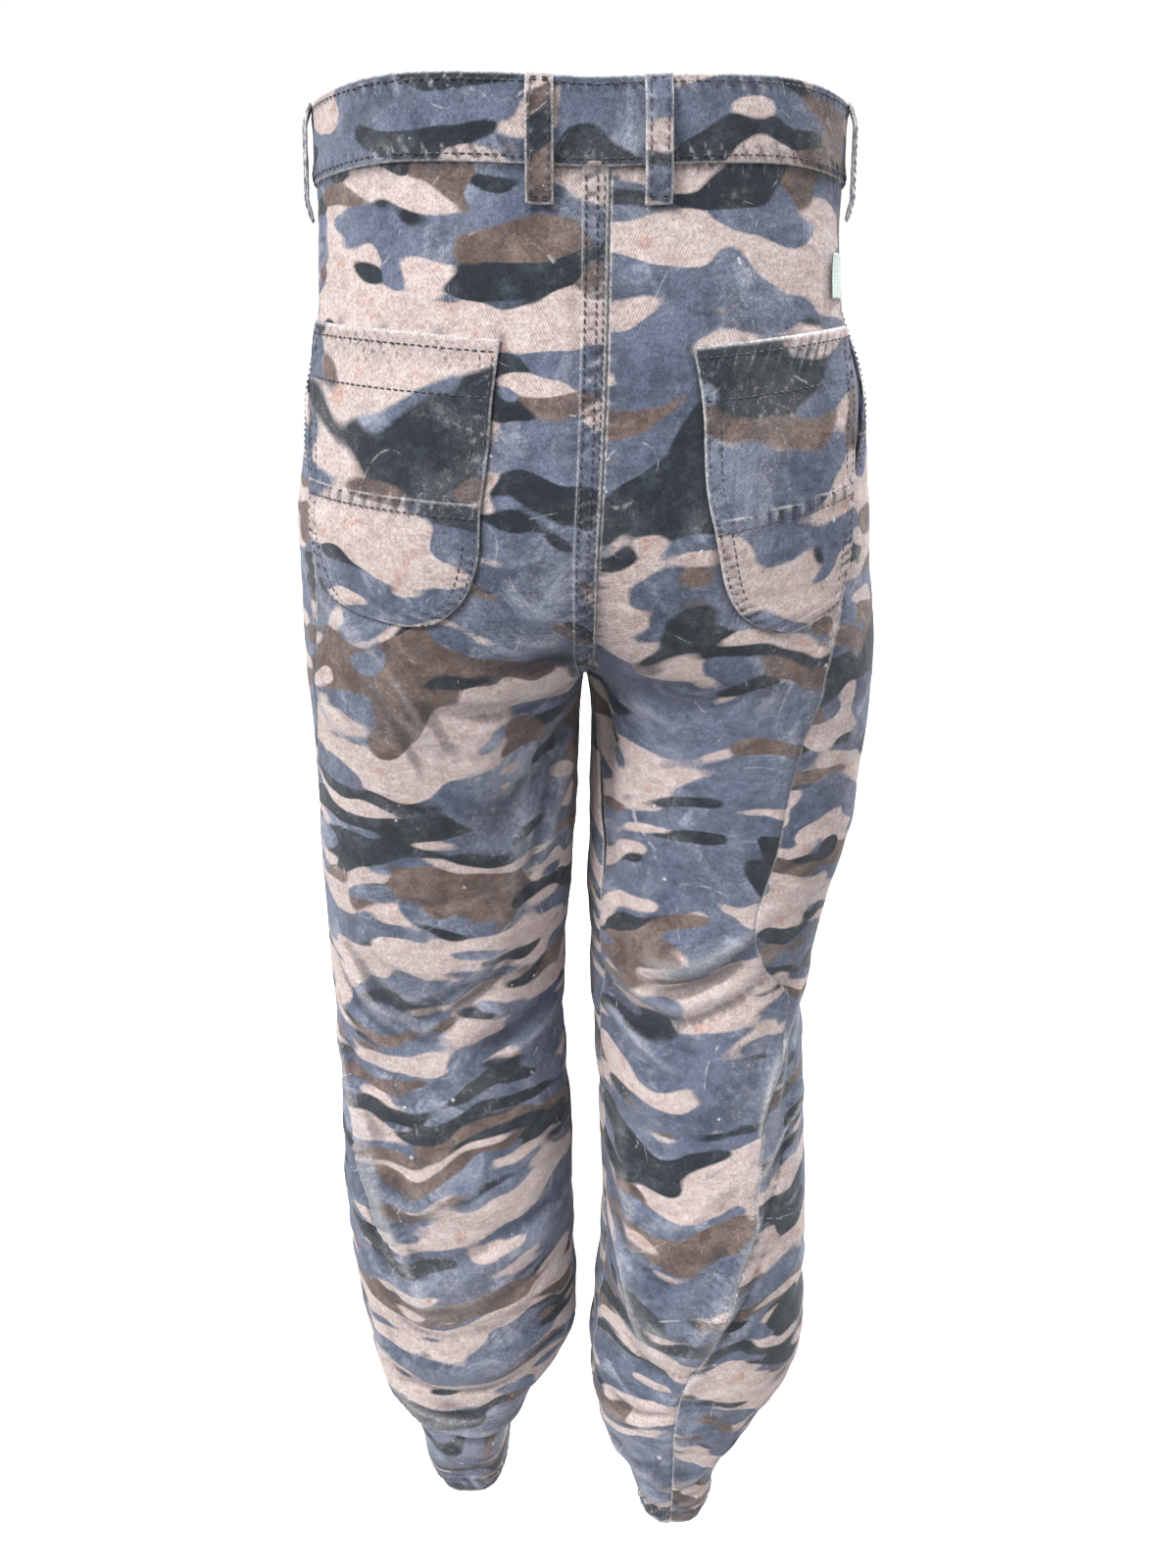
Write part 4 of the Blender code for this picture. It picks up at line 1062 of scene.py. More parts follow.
def twill_material(name, plain=False):
    """Washed twill: the print in soft-edged patches, mottled, scratched and worn, with painted shade in folds, hollows,
    seams and pucker troughs and painted highlights on ridges and crests.
    """
    made, tree, principled = shader(name, 0.88, 0.12)
    w = Wire(tree)
    place = w.node("ShaderNodeTexCoord").outputs["Object"]
    cloth = w.node("ShaderNodeUVMap")
    cloth.uv_map = "cloth"
    cloth = cloth.outputs[0]
    cloud = w.noise(place, 26.0, 6.0, 0.62, 0.35)
    fine = w.noise(place, 130.0, 5.0, 0.70)
    broad = w.noise(place, 9.0, 3.0, 0.5)
    ragged = w.math("MULTIPLY", w.math("SUBTRACT", w.noise(place, 420.0, 3.0, 0.7), 0.5), 0.0016)
    tone = w.ramp(w.math("ADD", w.math("MULTIPLY", cloud, 0.58), w.math("MULTIPLY", fine, 0.42)), 0.36, 0.62)
    slate = w.mix(tone, SLATE_DARK, SLATE)
    slate = w.mix(w.ramp(w.noise(place, 19.0, 8.0, 0.74, 0.8), 0.49, 0.70), slate, SLATE_PALE)
    sand = w.mix(w.ramp(fine, 0.3, 0.7), SAND, SAND_PALE)
    stain = w.math("MULTIPLY", w.ramp(w.noise(place, 62.0, 3.0, 0.55, 0.3), 0.59, 0.74), 0.50)
    sand = w.mix(stain, sand, RUST)
    spot = w.node("ShaderNodeTexVoronoi", Scale=34.0, Randomness=1.0)
    w.put(spot.inputs["Vector"], place)
    fleck = w.math("MULTIPLY", w.math("SUBTRACT", 1.0, w.ramp(spot.outputs["Distance"], 0.02, 0.11)), w.ramp(w.noise(place, 24.0, 1.0), 0.54, 0.62))
    sand = w.mix(w.math("MULTIPLY", fleck, 0.55), sand, (0.36, 0.13, 0.07))
    dark = w.mix(w.ramp(w.noise(place, 64.0, 8.0, 0.78), 0.44, 0.72), DARK, DARK_PALE)
    brown = w.mix(w.ramp(w.noise(place, 52.0, 8.0, 0.76, 0.5), 0.38, 0.68), BROWN, BROWN_PALE)
    colour, depth = slate, w.attribute("print_slate")
    for key, patch in (("brown", brown), ("dark", dark), ("sand", sand)):
        own = w.math("ADD", w.attribute(f"print_{key}"), ragged)
        share = w.math("MULTIPLY_ADD", w.math("SUBTRACT", own, depth), 1 / 0.0016, 0.5, clamp=True)
        colour = w.mix(share, colour, patch)
        depth = w.math("MAXIMUM", depth, own)
    # abrasion: clouds of wear made of fine pale grains; fold ridges paler, partly wear and partly painted highlight
    rubbed = w.ramp(w.noise(place, 17.0, 5.0, 0.65, 0.6), 0.46, 0.68)
    grains = w.ramp(w.noise(place, 250.0, 6.0, 0.85, 0.6), 0.52, 0.68)
    wear = w.math("MULTIPLY", rubbed, w.math("MULTIPLY_ADD", grains, 0.75, 0.10))
    colour = w.mix(w.math("MULTIPLY", wear, 0.74), colour, (0.50, 0.49, 0.50))
    # fold ridges paler: wear and painted highlight
    ridge = w.math("MULTIPLY", w.ramp(w.attribute("rise"), 0.0016, 0.0070), 0.12)
    colour = w.mix(ridge, colour, (0.55, 0.54, 0.54))
    seam, crest = w.attribute("seam"), w.attribute("crest")
    bitten = w.ramp(w.noise(place, 330.0, 4.0, 0.7), 0.36, 0.64)
    # pale crests along folds: wear and painted highlight
    worn = w.math("MULTIPLY", w.attribute("worn"), w.math("MULTIPLY_ADD", bitten, 0.5, 0.5))
    colour = w.mix(w.math("MULTIPLY", worn, 0.80), colour, (0.60, 0.57, 0.57))
    # painted shade: a darker band along each seam
    seam_shade_band = w.math("SUBTRACT", 1.0, w.ramp(seam, 0.004, 0.013))
    colour = w.mix(w.math("MULTIPLY", seam_shade_band, 0.16), colour, (0.045, 0.050, 0.064))
    # painted shade in the troughs of the seam puckers
    pucker_shade = w.math("MULTIPLY", w.ramp(w.math("MULTIPLY", crest, -1.0), 0.05, 0.9), 0.62)
    colour = w.mix(pucker_shade, colour, (0.030, 0.034, 0.044))
    # pucker crests paler: wear and painted highlight
    high = w.math("MULTIPLY", w.math("MULTIPLY", w.ramp(crest, 0.15, 0.95), bitten), 0.55)
    colour = w.mix(high, colour, (0.42, 0.41, 0.43))
    edge = w.math("MULTIPLY", w.math("SUBTRACT", 1.0, w.ramp(seam, 0.0010, 0.0025)), w.math("MULTIPLY_ADD", bitten, 0.6, 0.4))
    colour = w.mix(w.math("MULTIPLY", edge, 0.85), colour, (0.60, 0.58, 0.58))
    # painted shadow: a dark line in the gap at each seam
    seam_gap_shadow = w.math("SUBTRACT", 1.0, w.ramp(seam, 0.0, 0.0009))
    colour = w.mix(w.math("MULTIPLY", seam_gap_shadow, 0.75), colour, (0.025, 0.028, 0.036))
    lifted = w.attribute("lifted")
    # cloth raised above its surroundings paler: wear and painted highlight
    colour = w.mix(w.math("MULTIPLY", w.ramp(lifted, 0.00015, 0.0012), 0.20), colour, (0.56, 0.55, 0.56))
    # painted shade in the hollows of the cloth
    colour = w.mix(w.math("MULTIPLY", w.ramp(w.math("MULTIPLY", lifted, -1.0), 0.00012, 0.0010), 0.50), colour, (0.026, 0.030, 0.040))
    # painted shade in the troughs of folds
    colour = w.mix(w.math("MULTIPLY", w.ramp(w.math("MULTIPLY", w.attribute("rise"), -1.0), 0.0010, 0.0070), 0.26), colour, (0.030, 0.034, 0.044))
    colour = w.mix(w.math("MULTIPLY", w.attribute("shade"), 0.72), colour, (0.020, 0.023, 0.030))
    # hairline scratches along the level lines of smooth noise, and specks of bleach
    for scale, shift, amount in ((5.0, 0.0, 0.50), (7.0, 3.0, 0.46), (9.0, 7.0, 0.42), (12.0, 11.0, 0.34)):
        level = w.math("ABSOLUTE", w.math("SUBTRACT", w.noise(w.shifted(place, shift), scale, 1.0, 0.25, 0.0), 0.48))
        line = w.math("SUBTRACT", 1.0, w.ramp(level, 0.0002, 0.0002 + scale * 0.00026))
        there = w.math("MULTIPLY", w.ramp(w.noise(w.shifted(place, shift + 1), 46.0, 2.0, 0.5), 0.54, 0.62), w.ramp(w.noise(place, 240.0, 1.0), 0.36, 0.58))
        colour = w.mix(w.math("MULTIPLY", w.math("MULTIPLY", line, there), amount), colour, (0.68, 0.66, 0.66))
    speck = w.node("ShaderNodeTexVoronoi", Scale=85.0, Randomness=1.0)
    w.put(speck.inputs["Vector"], place)
    size = w.math("MULTIPLY", w.ramp(w.noise(place, 60.0, 1.0), 0.52, 0.78), 0.17)
    dot = w.math("SUBTRACT", 1.0, w.ramp(speck.outputs["Distance"], w.math("MULTIPLY", size, 0.6), size))
    dot = w.math("MULTIPLY", dot, w.math("GREATER_THAN", size, 0.01))
    colour = w.mix(w.math("MULTIPLY", dot, 0.75), colour, (0.62, 0.62, 0.64))
    # the twill's diagonal
    wave = w.node("ShaderNodeTexWave", Scale=1.0, Distortion=0.6, Detail=1.0)
    wave.wave_type, wave.bands_direction = "BANDS", "X"
    w.put(wave.inputs["Vector"], w.stretch(cloth, (265.0, 265.0, 265.0), math.radians(-38)))
    cord = wave.outputs["Fac"]
    colour = w.mix(0.30, colour, w.mix(cord, (0.20, 0.20, 0.20), (0.86, 0.86, 0.86)), "OVERLAY")
    grain = w.ramp(w.noise(place, 560.0, 4.0, 0.85), 0.32, 0.68)
    colour = w.mix(0.60, colour, w.mix(grain, (0.24, 0.24, 0.24), (0.80, 0.80, 0.80)), "OVERLAY")
    w.put(principled.inputs["Base Color"], colour)
    height = w.math("ADD", w.math("MULTIPLY", cord, 0.35), w.math("MULTIPLY", fine, 0.9))
    bump = w.node("ShaderNodeBump", Strength=0.35, Distance=0.0006, Height=height)
    lumps = w.node("ShaderNodeBump", Strength=0.58, Distance=0.004, Height=w.noise(w.stretch(place, (1.0, 1.0, 1.7)), 48.0, 3.0, 0.55))
    w.put(lumps.inputs["Normal"], bump.outputs[0])
    w.put(principled.inputs["Normal"], lumps.outputs[0])
    return made


def reverse_material():
    made, tree, principled = shader("twill_reverse", 0.92, 0.1)
    w = Wire(tree)
    place = w.node("ShaderNodeTexCoord").outputs["Object"]
    blotch = w.ramp(w.noise(place, 22.0, 4.0, 0.6), 0.35, 0.7)
    colour = w.mix(blotch, (0.36, 0.35, 0.36), (0.55, 0.52, 0.50))
    colour = w.mix(w.math("MULTIPLY", w.noise(place, 600.0, 2.0), 0.3), colour, (0.28, 0.28, 0.30))
    w.put(principled.inputs["Base Color"], colour)
    bump = w.node("ShaderNodeBump", Strength=0.3, Distance=0.0005, Height=w.noise(place, 900.0, 2.0))
    w.put(principled.inputs["Normal"], bump.outputs[0])
    return made


def thread_material(name, colour, pale):
    made, tree, principled = shader(name, 0.7, 0.1)
    w = Wire(tree)
    place = w.node("ShaderNodeTexCoord").outputs["Object"]
    mixed = w.mix(w.ramp(w.noise(place, 260.0, 3.0), 0.40, 0.66), colour, pale)
    w.put(principled.inputs["Base Color"], mixed)
    bump = w.node("ShaderNodeBump", Strength=0.4, Distance=0.0003, Height=w.noise(place, 1500.0, 2.0))
    w.put(principled.inputs["Normal"], bump.outputs[0])
    return made


def label_material():
    made, tree, principled = shader("woven_label", 0.75, 0.15)
    w = Wire(tree)
    place = w.node("ShaderNodeTexCoord").outputs["Object"]
    rib = w.node("ShaderNodeTexWave", Scale=330.0, Distortion=0.4)
    rib.bands_direction = "Z"
    w.put(rib.inputs["Vector"], place)
    colour = w.mix(rib.outputs["Fac"], (0.50, 0.66, 0.60), (0.70, 0.78, 0.74))
    colour = w.mix(w.math("MULTIPLY", w.noise(place, 300.0), 0.3), colour, (0.80, 0.82, 0.80))
    w.put(principled.inputs["Base Color"], colour)
    bump = w.node("ShaderNodeBump", Strength=0.4, Distance=0.0003, Height=rib.outputs["Fac"])
    w.put(principled.inputs["Normal"], bump.outputs[0])
    return made


def metal_material():
    made, tree, principled = shader("antique_metal_looks", 0.38, 0.0, 1.0)
    w = Wire(tree)
    place = w.node("ShaderNodeTexCoord").outputs["Object"]
    worn = w.ramp(w.noise(place, 420.0, 4.0), 0.45, 0.7)
    w.put(principled.inputs["Base Color"], w.mix(worn, (0.20, 0.15, 0.11), (0.46, 0.36, 0.27)))
    w.put(principled.inputs["Roughness"], w.math("MULTIPLY_ADD", worn, -0.15, 0.48))
    return made


MATERIALS["twill"] = twill_material("camo_twill_looks")
MATERIALS["reverse"] = reverse_material()
MATERIALS["thread"] = thread_material("thread_grey", (0.026, 0.030, 0.042), (0.13, 0.13, 0.15))
MATERIALS["label"] = label_material()
MATERIALS["metal"] = metal_material()


# ---- stitches ---------------------------------------------------------------
def stitch_mesh(name, runs, material):
    """Joined stitches along runs of points, each with its outward direction."""
    rings = ((-1.0, 0.18), (-0.72, 0.75), (0.0, 1.0), (0.72, 0.75), (1.0, 0.18))
    corner = np.array([(1, 0), (0, 0.75), (-1, 0), (0, -0.5)])
    verts, faces, count = [], [], 0
    for points, normals, width in runs:
        points, normals = np.asarray(points), np.asarray(normals)
        gaps = np.linalg.norm(np.diff(points, axis=0), axis=1)
        at = np.concatenate([[0], np.cumsum(gaps)])
        number = int(at[-1] / (STITCH_LENGTH + STITCH_GAP))
        if number < 1:
            continue
        centre = (np.arange(number) + 0.5) * at[-1] / number
        for c in centre:
            ends = [
                np.array([np.interp(c + e * STITCH_LENGTH / 2, at, points[:, k]) for k in range(3)])
                for e in (-1, 1)
            ]
            n = np.array([np.interp(c, at, normals[:, k]) for k in range(3)])
            n /= np.linalg.norm(n)
            middle, along = (ends[0] + ends[1]) / 2, (ends[1] - ends[0]) / 2
            across = np.cross(n, along)
            across *= width / 2 / np.linalg.norm(across)
            for f, r in rings:
                for cx, cy in corner:
                    verts.append(middle + along * f + across * cx * r + n * width / 2 * (cy * r + 0.35 * (1 - f * f)))
            for k in range(len(rings) - 1):
                for j in range(4):
                    a, b = count + 4 * k + j, count + 4 * k + (j + 1) % 4
                    faces.append((a, b, b + 4, a + 4))
            faces.append((count + 3, count + 2, count + 1, count))
            last = count + 4 * (len(rings) - 1)
            faces.append((last, last + 1, last + 2, last + 3))
            count += 4 * len(rings)
    mesh = bpy.data.meshes.new(name)
    mesh.from_pydata([tuple(v) for v in verts], [], faces)
    mesh.shade_smooth()
    mesh.materials.append(material)
    obj = bpy.data.objects.new(name, mesh)
    COLLECTION.objects.link(obj)
    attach(obj, "root")
    return obj


def run_on(side, s, z, out, width=STITCH_WIDTH):
    """A run of stitches through places on a leg."""
    s, z = np.broadcast_arrays(np.asarray(s, float), np.asarray(z, float))
    p = surface(side, s, z, out)
    n = outward(side, TABLES[side].angle(s + 0.0, z + 0.0), z + 0.0)
    return p, n, width


# ---- pieces -----------------------------------------------------------------
panel("back_left_sheet", "back_left", 1, 110, 424)
panel("back_right_sheet", "back_right", -1, 104, 424)
panel("front_left_sheet", "front_left", 1, 116, 360)
panel("front_right_sheet", "front_right", -1, 136, 360)


def pocket(name, side, outline, rounding):
    """A patch made from the panel's own places, moved out, its edges turned under."""
    table = np.array(outline + (rounding,), float) / 1000
    key = np.linspace(0, 1, len(table))
    table = np.column_stack([-key, table])
    t = np.linspace(0, 1, 74)
    t = np.concatenate([[0.0, 0.006], t[1:-1], [0.996, 1.0]])
    rows = between(table, -t)
    f = np.linspace(0, 1, 66)
    f = np.concatenate([[0.0, 0.008], f[1:-1], [0.992, 1.0]])
    s = rows[:, 0:1] + (rows[:, 2:3] - rows[:, 0:1]) * f
    z = rows[:, 1:2] + (rows[:, 3:4] - rows[:, 1:2]) * f
    s = np.maximum(s, TABLES[side].level("outseam", z) + SEAM_GAP)
    width = np.abs(rows[:, 2:3] - rows[:, 0:1]) + 0.0
    edge = np.minimum(f, 1 - f) * width
    top = (t[:, None] * 0.150) + 0 * f
    base = rows[-1, 1]
    bottom = np.linalg.norm(np.stack([0 * s, z - z[-1:, :]], -1), axis=-1)
    corner = np.minimum(edge, bottom)
    near = np.minimum(corner, top)
    roll = 1 - np.sqrt(np.clip(1 - (1 - np.clip(near / 0.0016, 0, 1)) ** 2, 0, 1))
    out = LAYER_GAP + POCKET_WALL + 0.0003 - 0.0008 * roll
    crest = pucker(near - 0.005, (s + 0.9 * z) * np.where(edge < top, 0.45, 1.0) + np.where(edge < top, z, 0), 0.0055, 1.0, 0.0080)
    out = out + 0.00055 * crest
    out = out + 0.0008 * np.exp(-((near - 0.010) / 0.006) ** 2) * noise(np.stack([s, z, 0 * s], -1), 0.03, 41)
    line = POCKET_LINES[side]
    out = out + 0.0007 * (1 - smooth(0.0, 0.0015, z - line(s)[0])) * smooth(-0.006, -0.0045, z - line(s)[0])
    out = out + 0.0004 * pucker(z - line(s)[0] + 0.003, s, 0.0060, 1.3, 0.0085)
    points = surface(side, s, z, out)
    piece = name.replace("_patch", "")
    depth = printed(piece, s, z)
    attributes = {f"print_{k}": v for k, v in depth.items()}
    ridge = z - line(s)[0]
    crest = crest + pucker(ridge + 0.003, s, 0.0050, 1.3, 0.0085)
    attributes["seam"] = np.minimum(near + 0.0009, np.abs(ridge) + 0.001)
    attributes["rise"] = 0 * s
    attributes["crest"] = crest
    obj = grid_mesh(name, points, 0.0012, side, np.stack([s, z], -1), attributes, (MATERIALS["twill"],))
    declare(obj, piece)
    runs = []
    for inset in (0.0025, 0.0090):
        fr = np.clip(inset / width[:, 0], 0, 0.49)
        keep = t * 0.150 > 0.004
        stop = int(np.argmax(rows[:, 1] - 0.0 < rows[-1, 1] + inset * 0.8)) or len(t)
        sel = np.arange(len(t))[keep & (np.arange(len(t)) < stop)]
        left_s = rows[sel, 0] + (rows[sel, 2] - rows[sel, 0]) * fr[sel]
        left_z = rows[sel, 1] + (rows[sel, 3] - rows[sel, 1]) * fr[sel]
        right_s = rows[sel, 0] + (rows[sel, 2] - rows[sel, 0]) * (1 - fr[sel])
        right_z = rows[sel, 1] + (rows[sel, 3] - rows[sel, 1]) * (1 - fr[sel])
        left_s = np.maximum(left_s, TABLES[side].level("outseam", left_z) + SEAM_GAP + inset)
        path_s = np.concatenate([left_s, right_s[::-1]])
        path_z = np.concatenate([left_z, right_z[::-1]])
        runs.append(run_on(side, path_s, path_z, LAYER_GAP + POCKET_WALL + 0.00015))
    across = np.linspace(0.012, 0.988, 60)
    for down in (0.0035, 0.0155):
        k = down / 0.150
        row = between(table, -np.array([k]))[0]
        runs.append(run_on(side, row[0] + (row[2] - row[0]) * across, row[1] + (row[3] - row[1]) * across, LAYER_GAP + POCKET_WALL + 0.0006))
    for shift in (-0.0008, -0.0062):
        ss = row_span(table, POCKET_LINES[side], across)
        sz = POCKET_LINES[side](ss)[0] + shift
        inside = ss > TABLES[side].level("outseam", sz) + 0.002
        runs.append(run_on(side, ss[inside], sz[inside], LAYER_GAP + POCKET_WALL + (0.0014 if shift < -0.003 else 0.0007)))
    return runs


def pocket_line(s0, z0, s1, z1):
    def line(s):
        f = (np.asarray(s) - s0) / (s1 - s0)
        return (z0 + (z1 - z0) * f,)

    return line


POCKET_LINES = {
    1: pocket_line(0.065, -0.1730, 0.183, -0.1780),
    -1: pocket_line(0.082, -0.1730, 0.186, -0.1880),
}


def row_span(table, line, across):
    """Distances across a pocket at its horizontal line."""
    rows = between(table, -np.linspace(0, 1, 200))
    gap = np.abs(rows[:, 1] - line(rows[:, 0])[0])
    k = int(np.argmin(gap))
    return rows[k, 0] + (rows[k, 2] - rows[k, 0]) * across


RUNS = []
RUNS += pocket("pocket_back_left_patch", 1, LEFT_POCKET, (112, -241, 142, -245))
RUNS += pocket("pocket_back_right_patch", -1, RIGHT_POCKET, (119, -246.5, 141, -253))


def hip(name, side):
    leg = TABLES[side]
    z = np.linspace(BAND_FOOT + 0.0028, MOUTH_FOOT + 0.002, 64)
    width = mouth_width(z)
    tuck = TUCK * smooth(0.016, 0.022, width)
    start = leg.level("outseam", z) + 0.0002
    f = np.linspace(0, 1, 34)
    s = start[:, None] - (width + tuck)[:, None] * f
    zz = np.repeat(z[:, None], 34, 1)
    inset = start[:, None] - s
    out = -(CLOTH + LAYER_GAP) * smooth(0.0, 0.014, inset)
    head = smooth(BAND_FOOT - 0.010, BAND_FOOT, zz)
    out = out * (1 - head) - 0.0005 * head * smooth(0.0, 0.006, inset)
    depth = printed(name.replace("_sheet", ""), s, zz)
    attributes = {f"print_{k}": v for k, v in depth.items()}
    attributes["seam"] = inset
    attributes["rise"] = 0 * s
    obj = grid_mesh(name, surface(side, s, zz, out), 0.0012, -side, np.stack([s, zz], -1), attributes, (MATERIALS["twill"], MATERIALS["reverse"]))
    return declare(obj, name.replace("_sheet", ""))


hip("pocket_front_left_sheet", 1)
hip("pocket_front_right_sheet", -1)


def underlap(name):
    z = np.linspace(BAND_FOOT - SEAM_GAP, FLY_DEPTH + 0.010, 60)
    lean = 0.030 * (1 - 0.5 * smooth(-0.12, FLY_DEPTH, z))
    left, right = TABLES[1].level("front", z), TABLES[-1].level("front", z)
    a = surface(1, left[:, None] + np.linspace(1, 0.13, 14) * lean[:, None], z[:, None], -(CLOTH + LAYER_GAP))
    b = surface(-1, right[:, None] + np.linspace(0.004, 0.014, 6), z[:, None], -(CLOTH + LAYER_GAP))
    p = np.concatenate([a, b], axis=1)
    u = np.broadcast_to(np.linspace(0, 0.045, 20), (60, 20)) + 0.0
    v = np.repeat(z[:, None], 20, 1)
    depth = printed("fly_underlap", u, v)
    attributes = {f"print_{k}": d for k, d in depth.items()}
    attributes["seam"] = 0 * u + 0.02
    attributes["rise"] = 0 * u
    obj = grid_mesh(name, p, 0.0012, -1, np.stack([u, v], -1), attributes, (MATERIALS["twill"], MATERIALS["reverse"]))
    return declare(obj, "fly_underlap")


underlap("fly_underlap_sheet")


def waistband_sheet(name):
    turn = np.linspace(282.0, -93.5, 470)
    v = np.concatenate([[0.0, 0.0004, 0.0011], np.linspace(0.002, 0.037, 26), [0.0379, 0.0386, 0.0390]])
    z = BAND_TOP - v
    t, zz = np.meshgrid(turn, z)
    rim = np.minimum(v, 0.039 - v)[:, None] + 0 * t
    roll = 1 - np.sqrt(np.clip(1 - (1 - np.clip(rim / 0.0014, 0, 1)) ** 2, 0, 1))
    along = t * BAND_TURN
    out = BAND_PROUD + 0.0006 - 0.0009 * roll
    crest = pucker(rim - 0.0045, along + 0.5 * zz, 0.0055, 1.0, 0.0078)
    out = out + 0.0005 * crest
    flat = np.stack([along, zz, 0 * t], -1)
    out = out + 0.0007 * noise(flat, 0.022, 21) * smooth(0, 0.006, rim) + 0.0006 * noise(flat * (1, 0.4, 1), 0.009, 22) * smooth(0, 0.006, rim)
    out = out - 0.0022 * smooth(262, 272, t) + 0.0012 * smooth(-70, -82, t)
    p = band_points(t, zz, out)
    depth = printed("waistband", along, zz)
    attributes = {f"print_{k}": d for k, d in depth.items()}
    attributes["seam"] = np.minimum(rim + 0.0009, 0.02)
    attributes["rise"] = 0 * t
    attributes["crest"] = crest
    obj = grid_mesh(name, p, 0.0024, -1, np.stack([along, zz], -1), attributes, (MATERIALS["twill"], MATERIALS["reverse"]))
    declare(obj, "waistband")
    runs = []
    for h in (BAND_TOP - 0.0035, BAND_FOOT + 0.0035):
        tt = np.linspace(-93, 282, 700)
        p = band_points(tt, np.full(tt.shape, h), BAND_PROUD + 0.0010 - 0.0022 * smooth(262, 272, tt) + 0.0012 * smooth(-70, -82, tt))
        q = band_points(tt, np.full(tt.shape, h), BAND_PROUD + 0.0110)
        runs.append((p, q - p, STITCH_WIDTH))
    return runs


RUNS += waistband_sheet("waistband_sheet")


def loop(node, turn, seed):
    """A belt loop with turned edges, sewn at its head and foot."""
    z = np.concatenate([[LOOP_TOP, LOOP_TOP - 0.0006], np.linspace(LOOP_TOP - 0.0014, LOOP_FOOT + 0.0014, 46), [LOOP_FOOT + 0.0006, LOOP_FOOT]])
    w = np.concatenate([[-1, -0.95, -0.86], np.linspace(-0.74, 0.74, 9), [0.86, 0.95, 1]])
    half = LOOP_WIDTH / 2 / (np.linalg.norm(band_point(turn + 0.5, 0.0, 0.0) - band_point(turn - 0.5, 0.0, 0.0)))
    ww, zz = np.meshgrid(w, z)
    slack = LOOP_SLACK * smooth(LOOP_TOP, 0.008, zz) * smooth(LOOP_FOOT, -0.026, zz)
    side_in = (1 - np.abs(ww)) * LOOP_WIDTH / 2
    end_in = np.minimum(LOOP_TOP - zz, zz - LOOP_FOOT)
    near = np.minimum(side_in, end_in)
    roll = 1 - np.sqrt(np.clip(1 - (1 - np.clip(near / 0.0014, 0, 1)) ** 2, 0, 1))
    out = BAND_PROUD + 0.0006 + SEAM_GAP + LOOP_WALL + 0.0003 + slack - 0.0008 * roll
    out = out + 0.0004 * np.sin(zz / 0.0013 + seed) * np.exp(-((side_in - 0.003) / 0.002) ** 2)
    out = out - 0.0005 * np.exp(-((ww / 0.25) ** 2)) + 0.0004 * noise(np.stack([ww * 0.007, zz, 0 * ww + seed], -1), 0.008, 31)
    p = band_points(turn + ww * half, zz, out)
    u = ww * LOOP_WIDTH / 2 + 0.1 * seed
    depth = printed(node, u, zz)
    attributes = {f"print_{k}": d for k, d in depth.items()}
    attributes["seam"] = near + 0.0009
    attributes["rise"] = 0 * u
    attributes["crest"] = 0.7 * np.sin(zz / 0.0013 + seed) * np.exp(-(((side_in - 0.003) / 0.002) ** 2))
    obj = grid_mesh(node + "_sheet", p, 0.0013, 1, np.stack([u, zz], -1), attributes, (MATERIALS["twill"],))
    declare(obj, node)
    runs = []
    for w0 in (-0.62, 0.62):
        hh = np.linspace(LOOP_TOP - 0.002, LOOP_FOOT + 0.002, 60)
        sl = LOOP_SLACK * smooth(LOOP_TOP, 0.008, hh) * smooth(LOOP_FOOT, -0.026, hh)
        tt = np.full(hh.shape, turn + w0 * half)
        base = BAND_PROUD + 0.0006 + SEAM_GAP + LOOP_WALL + 0.0006 + sl
        p = band_points(tt, hh, base)
        runs.append((p, band_points(tt, hh, base + 0.01) - p, 0.0007))
    for h in (LOOP_TOP - 0.0022, LOOP_TOP - 0.0034, LOOP_FOOT + 0.0022, LOOP_FOOT + 0.0034):
        tt = np.linspace(turn - 0.8 * half, turn + 0.8 * half, 12)
        hh = np.full(tt.shape, h)
        base = BAND_PROUD + 0.0006 + SEAM_GAP + LOOP_WALL + 0.0007
        p = band_points(tt, hh, base)
        runs.append((p, band_points(tt, hh, base + 0.01) - p, 0.0010))
    return runs


for seed, (node, turn) in enumerate(
    (
        ("loop_back_left", 79.7),
        ("loop_back_right", 180 - 78.0),
        ("loop_side_left", 10.0),
        ("loop_side_right", 180 - 17.0),
        ("loop_front_left", -58.0),
        ("loop_front_right", -122.0),
    )
):
    RUNS += loop(node, turn, seed)


def label():
    z = np.linspace(-0.0570, -0.0800, 26)
    leg = TABLES[-1]
    f = np.linspace(0, 1, 18)
    s = leg.level("outseam", z)[:, None] + 0.0035 + 0.0160 * f
    zz = np.repeat(z[:, None], 18, 1)
    out = 0.0009 + LAYER_GAP + 0.0020 * smooth(0, 0.9, f) + 0.0005 * np.sin(f * 5 + zz * 90)
    obj = grid_mesh("side_label_sheet", surface(-1, s, zz, out), 0.0005, -1, np.stack([s, zz], -1), None, (MATERIALS["label"],))
    return declare(obj, "side_label")


label()

# centre-back lap: three rows, following its folded edge
z = np.linspace(BAND_FOOT - 0.003, -0.287, 260)
for inset in (0.0020, 0.0055, 0.0112):
    RUNS.append(run_on(1, TABLES[1].level("back_end", z) - SEAM_GAP / 2 - inset, z, 0.0006 + LAP_PROUD * smooth(CROTCH + 0.010, CROTCH + 0.035, z)))
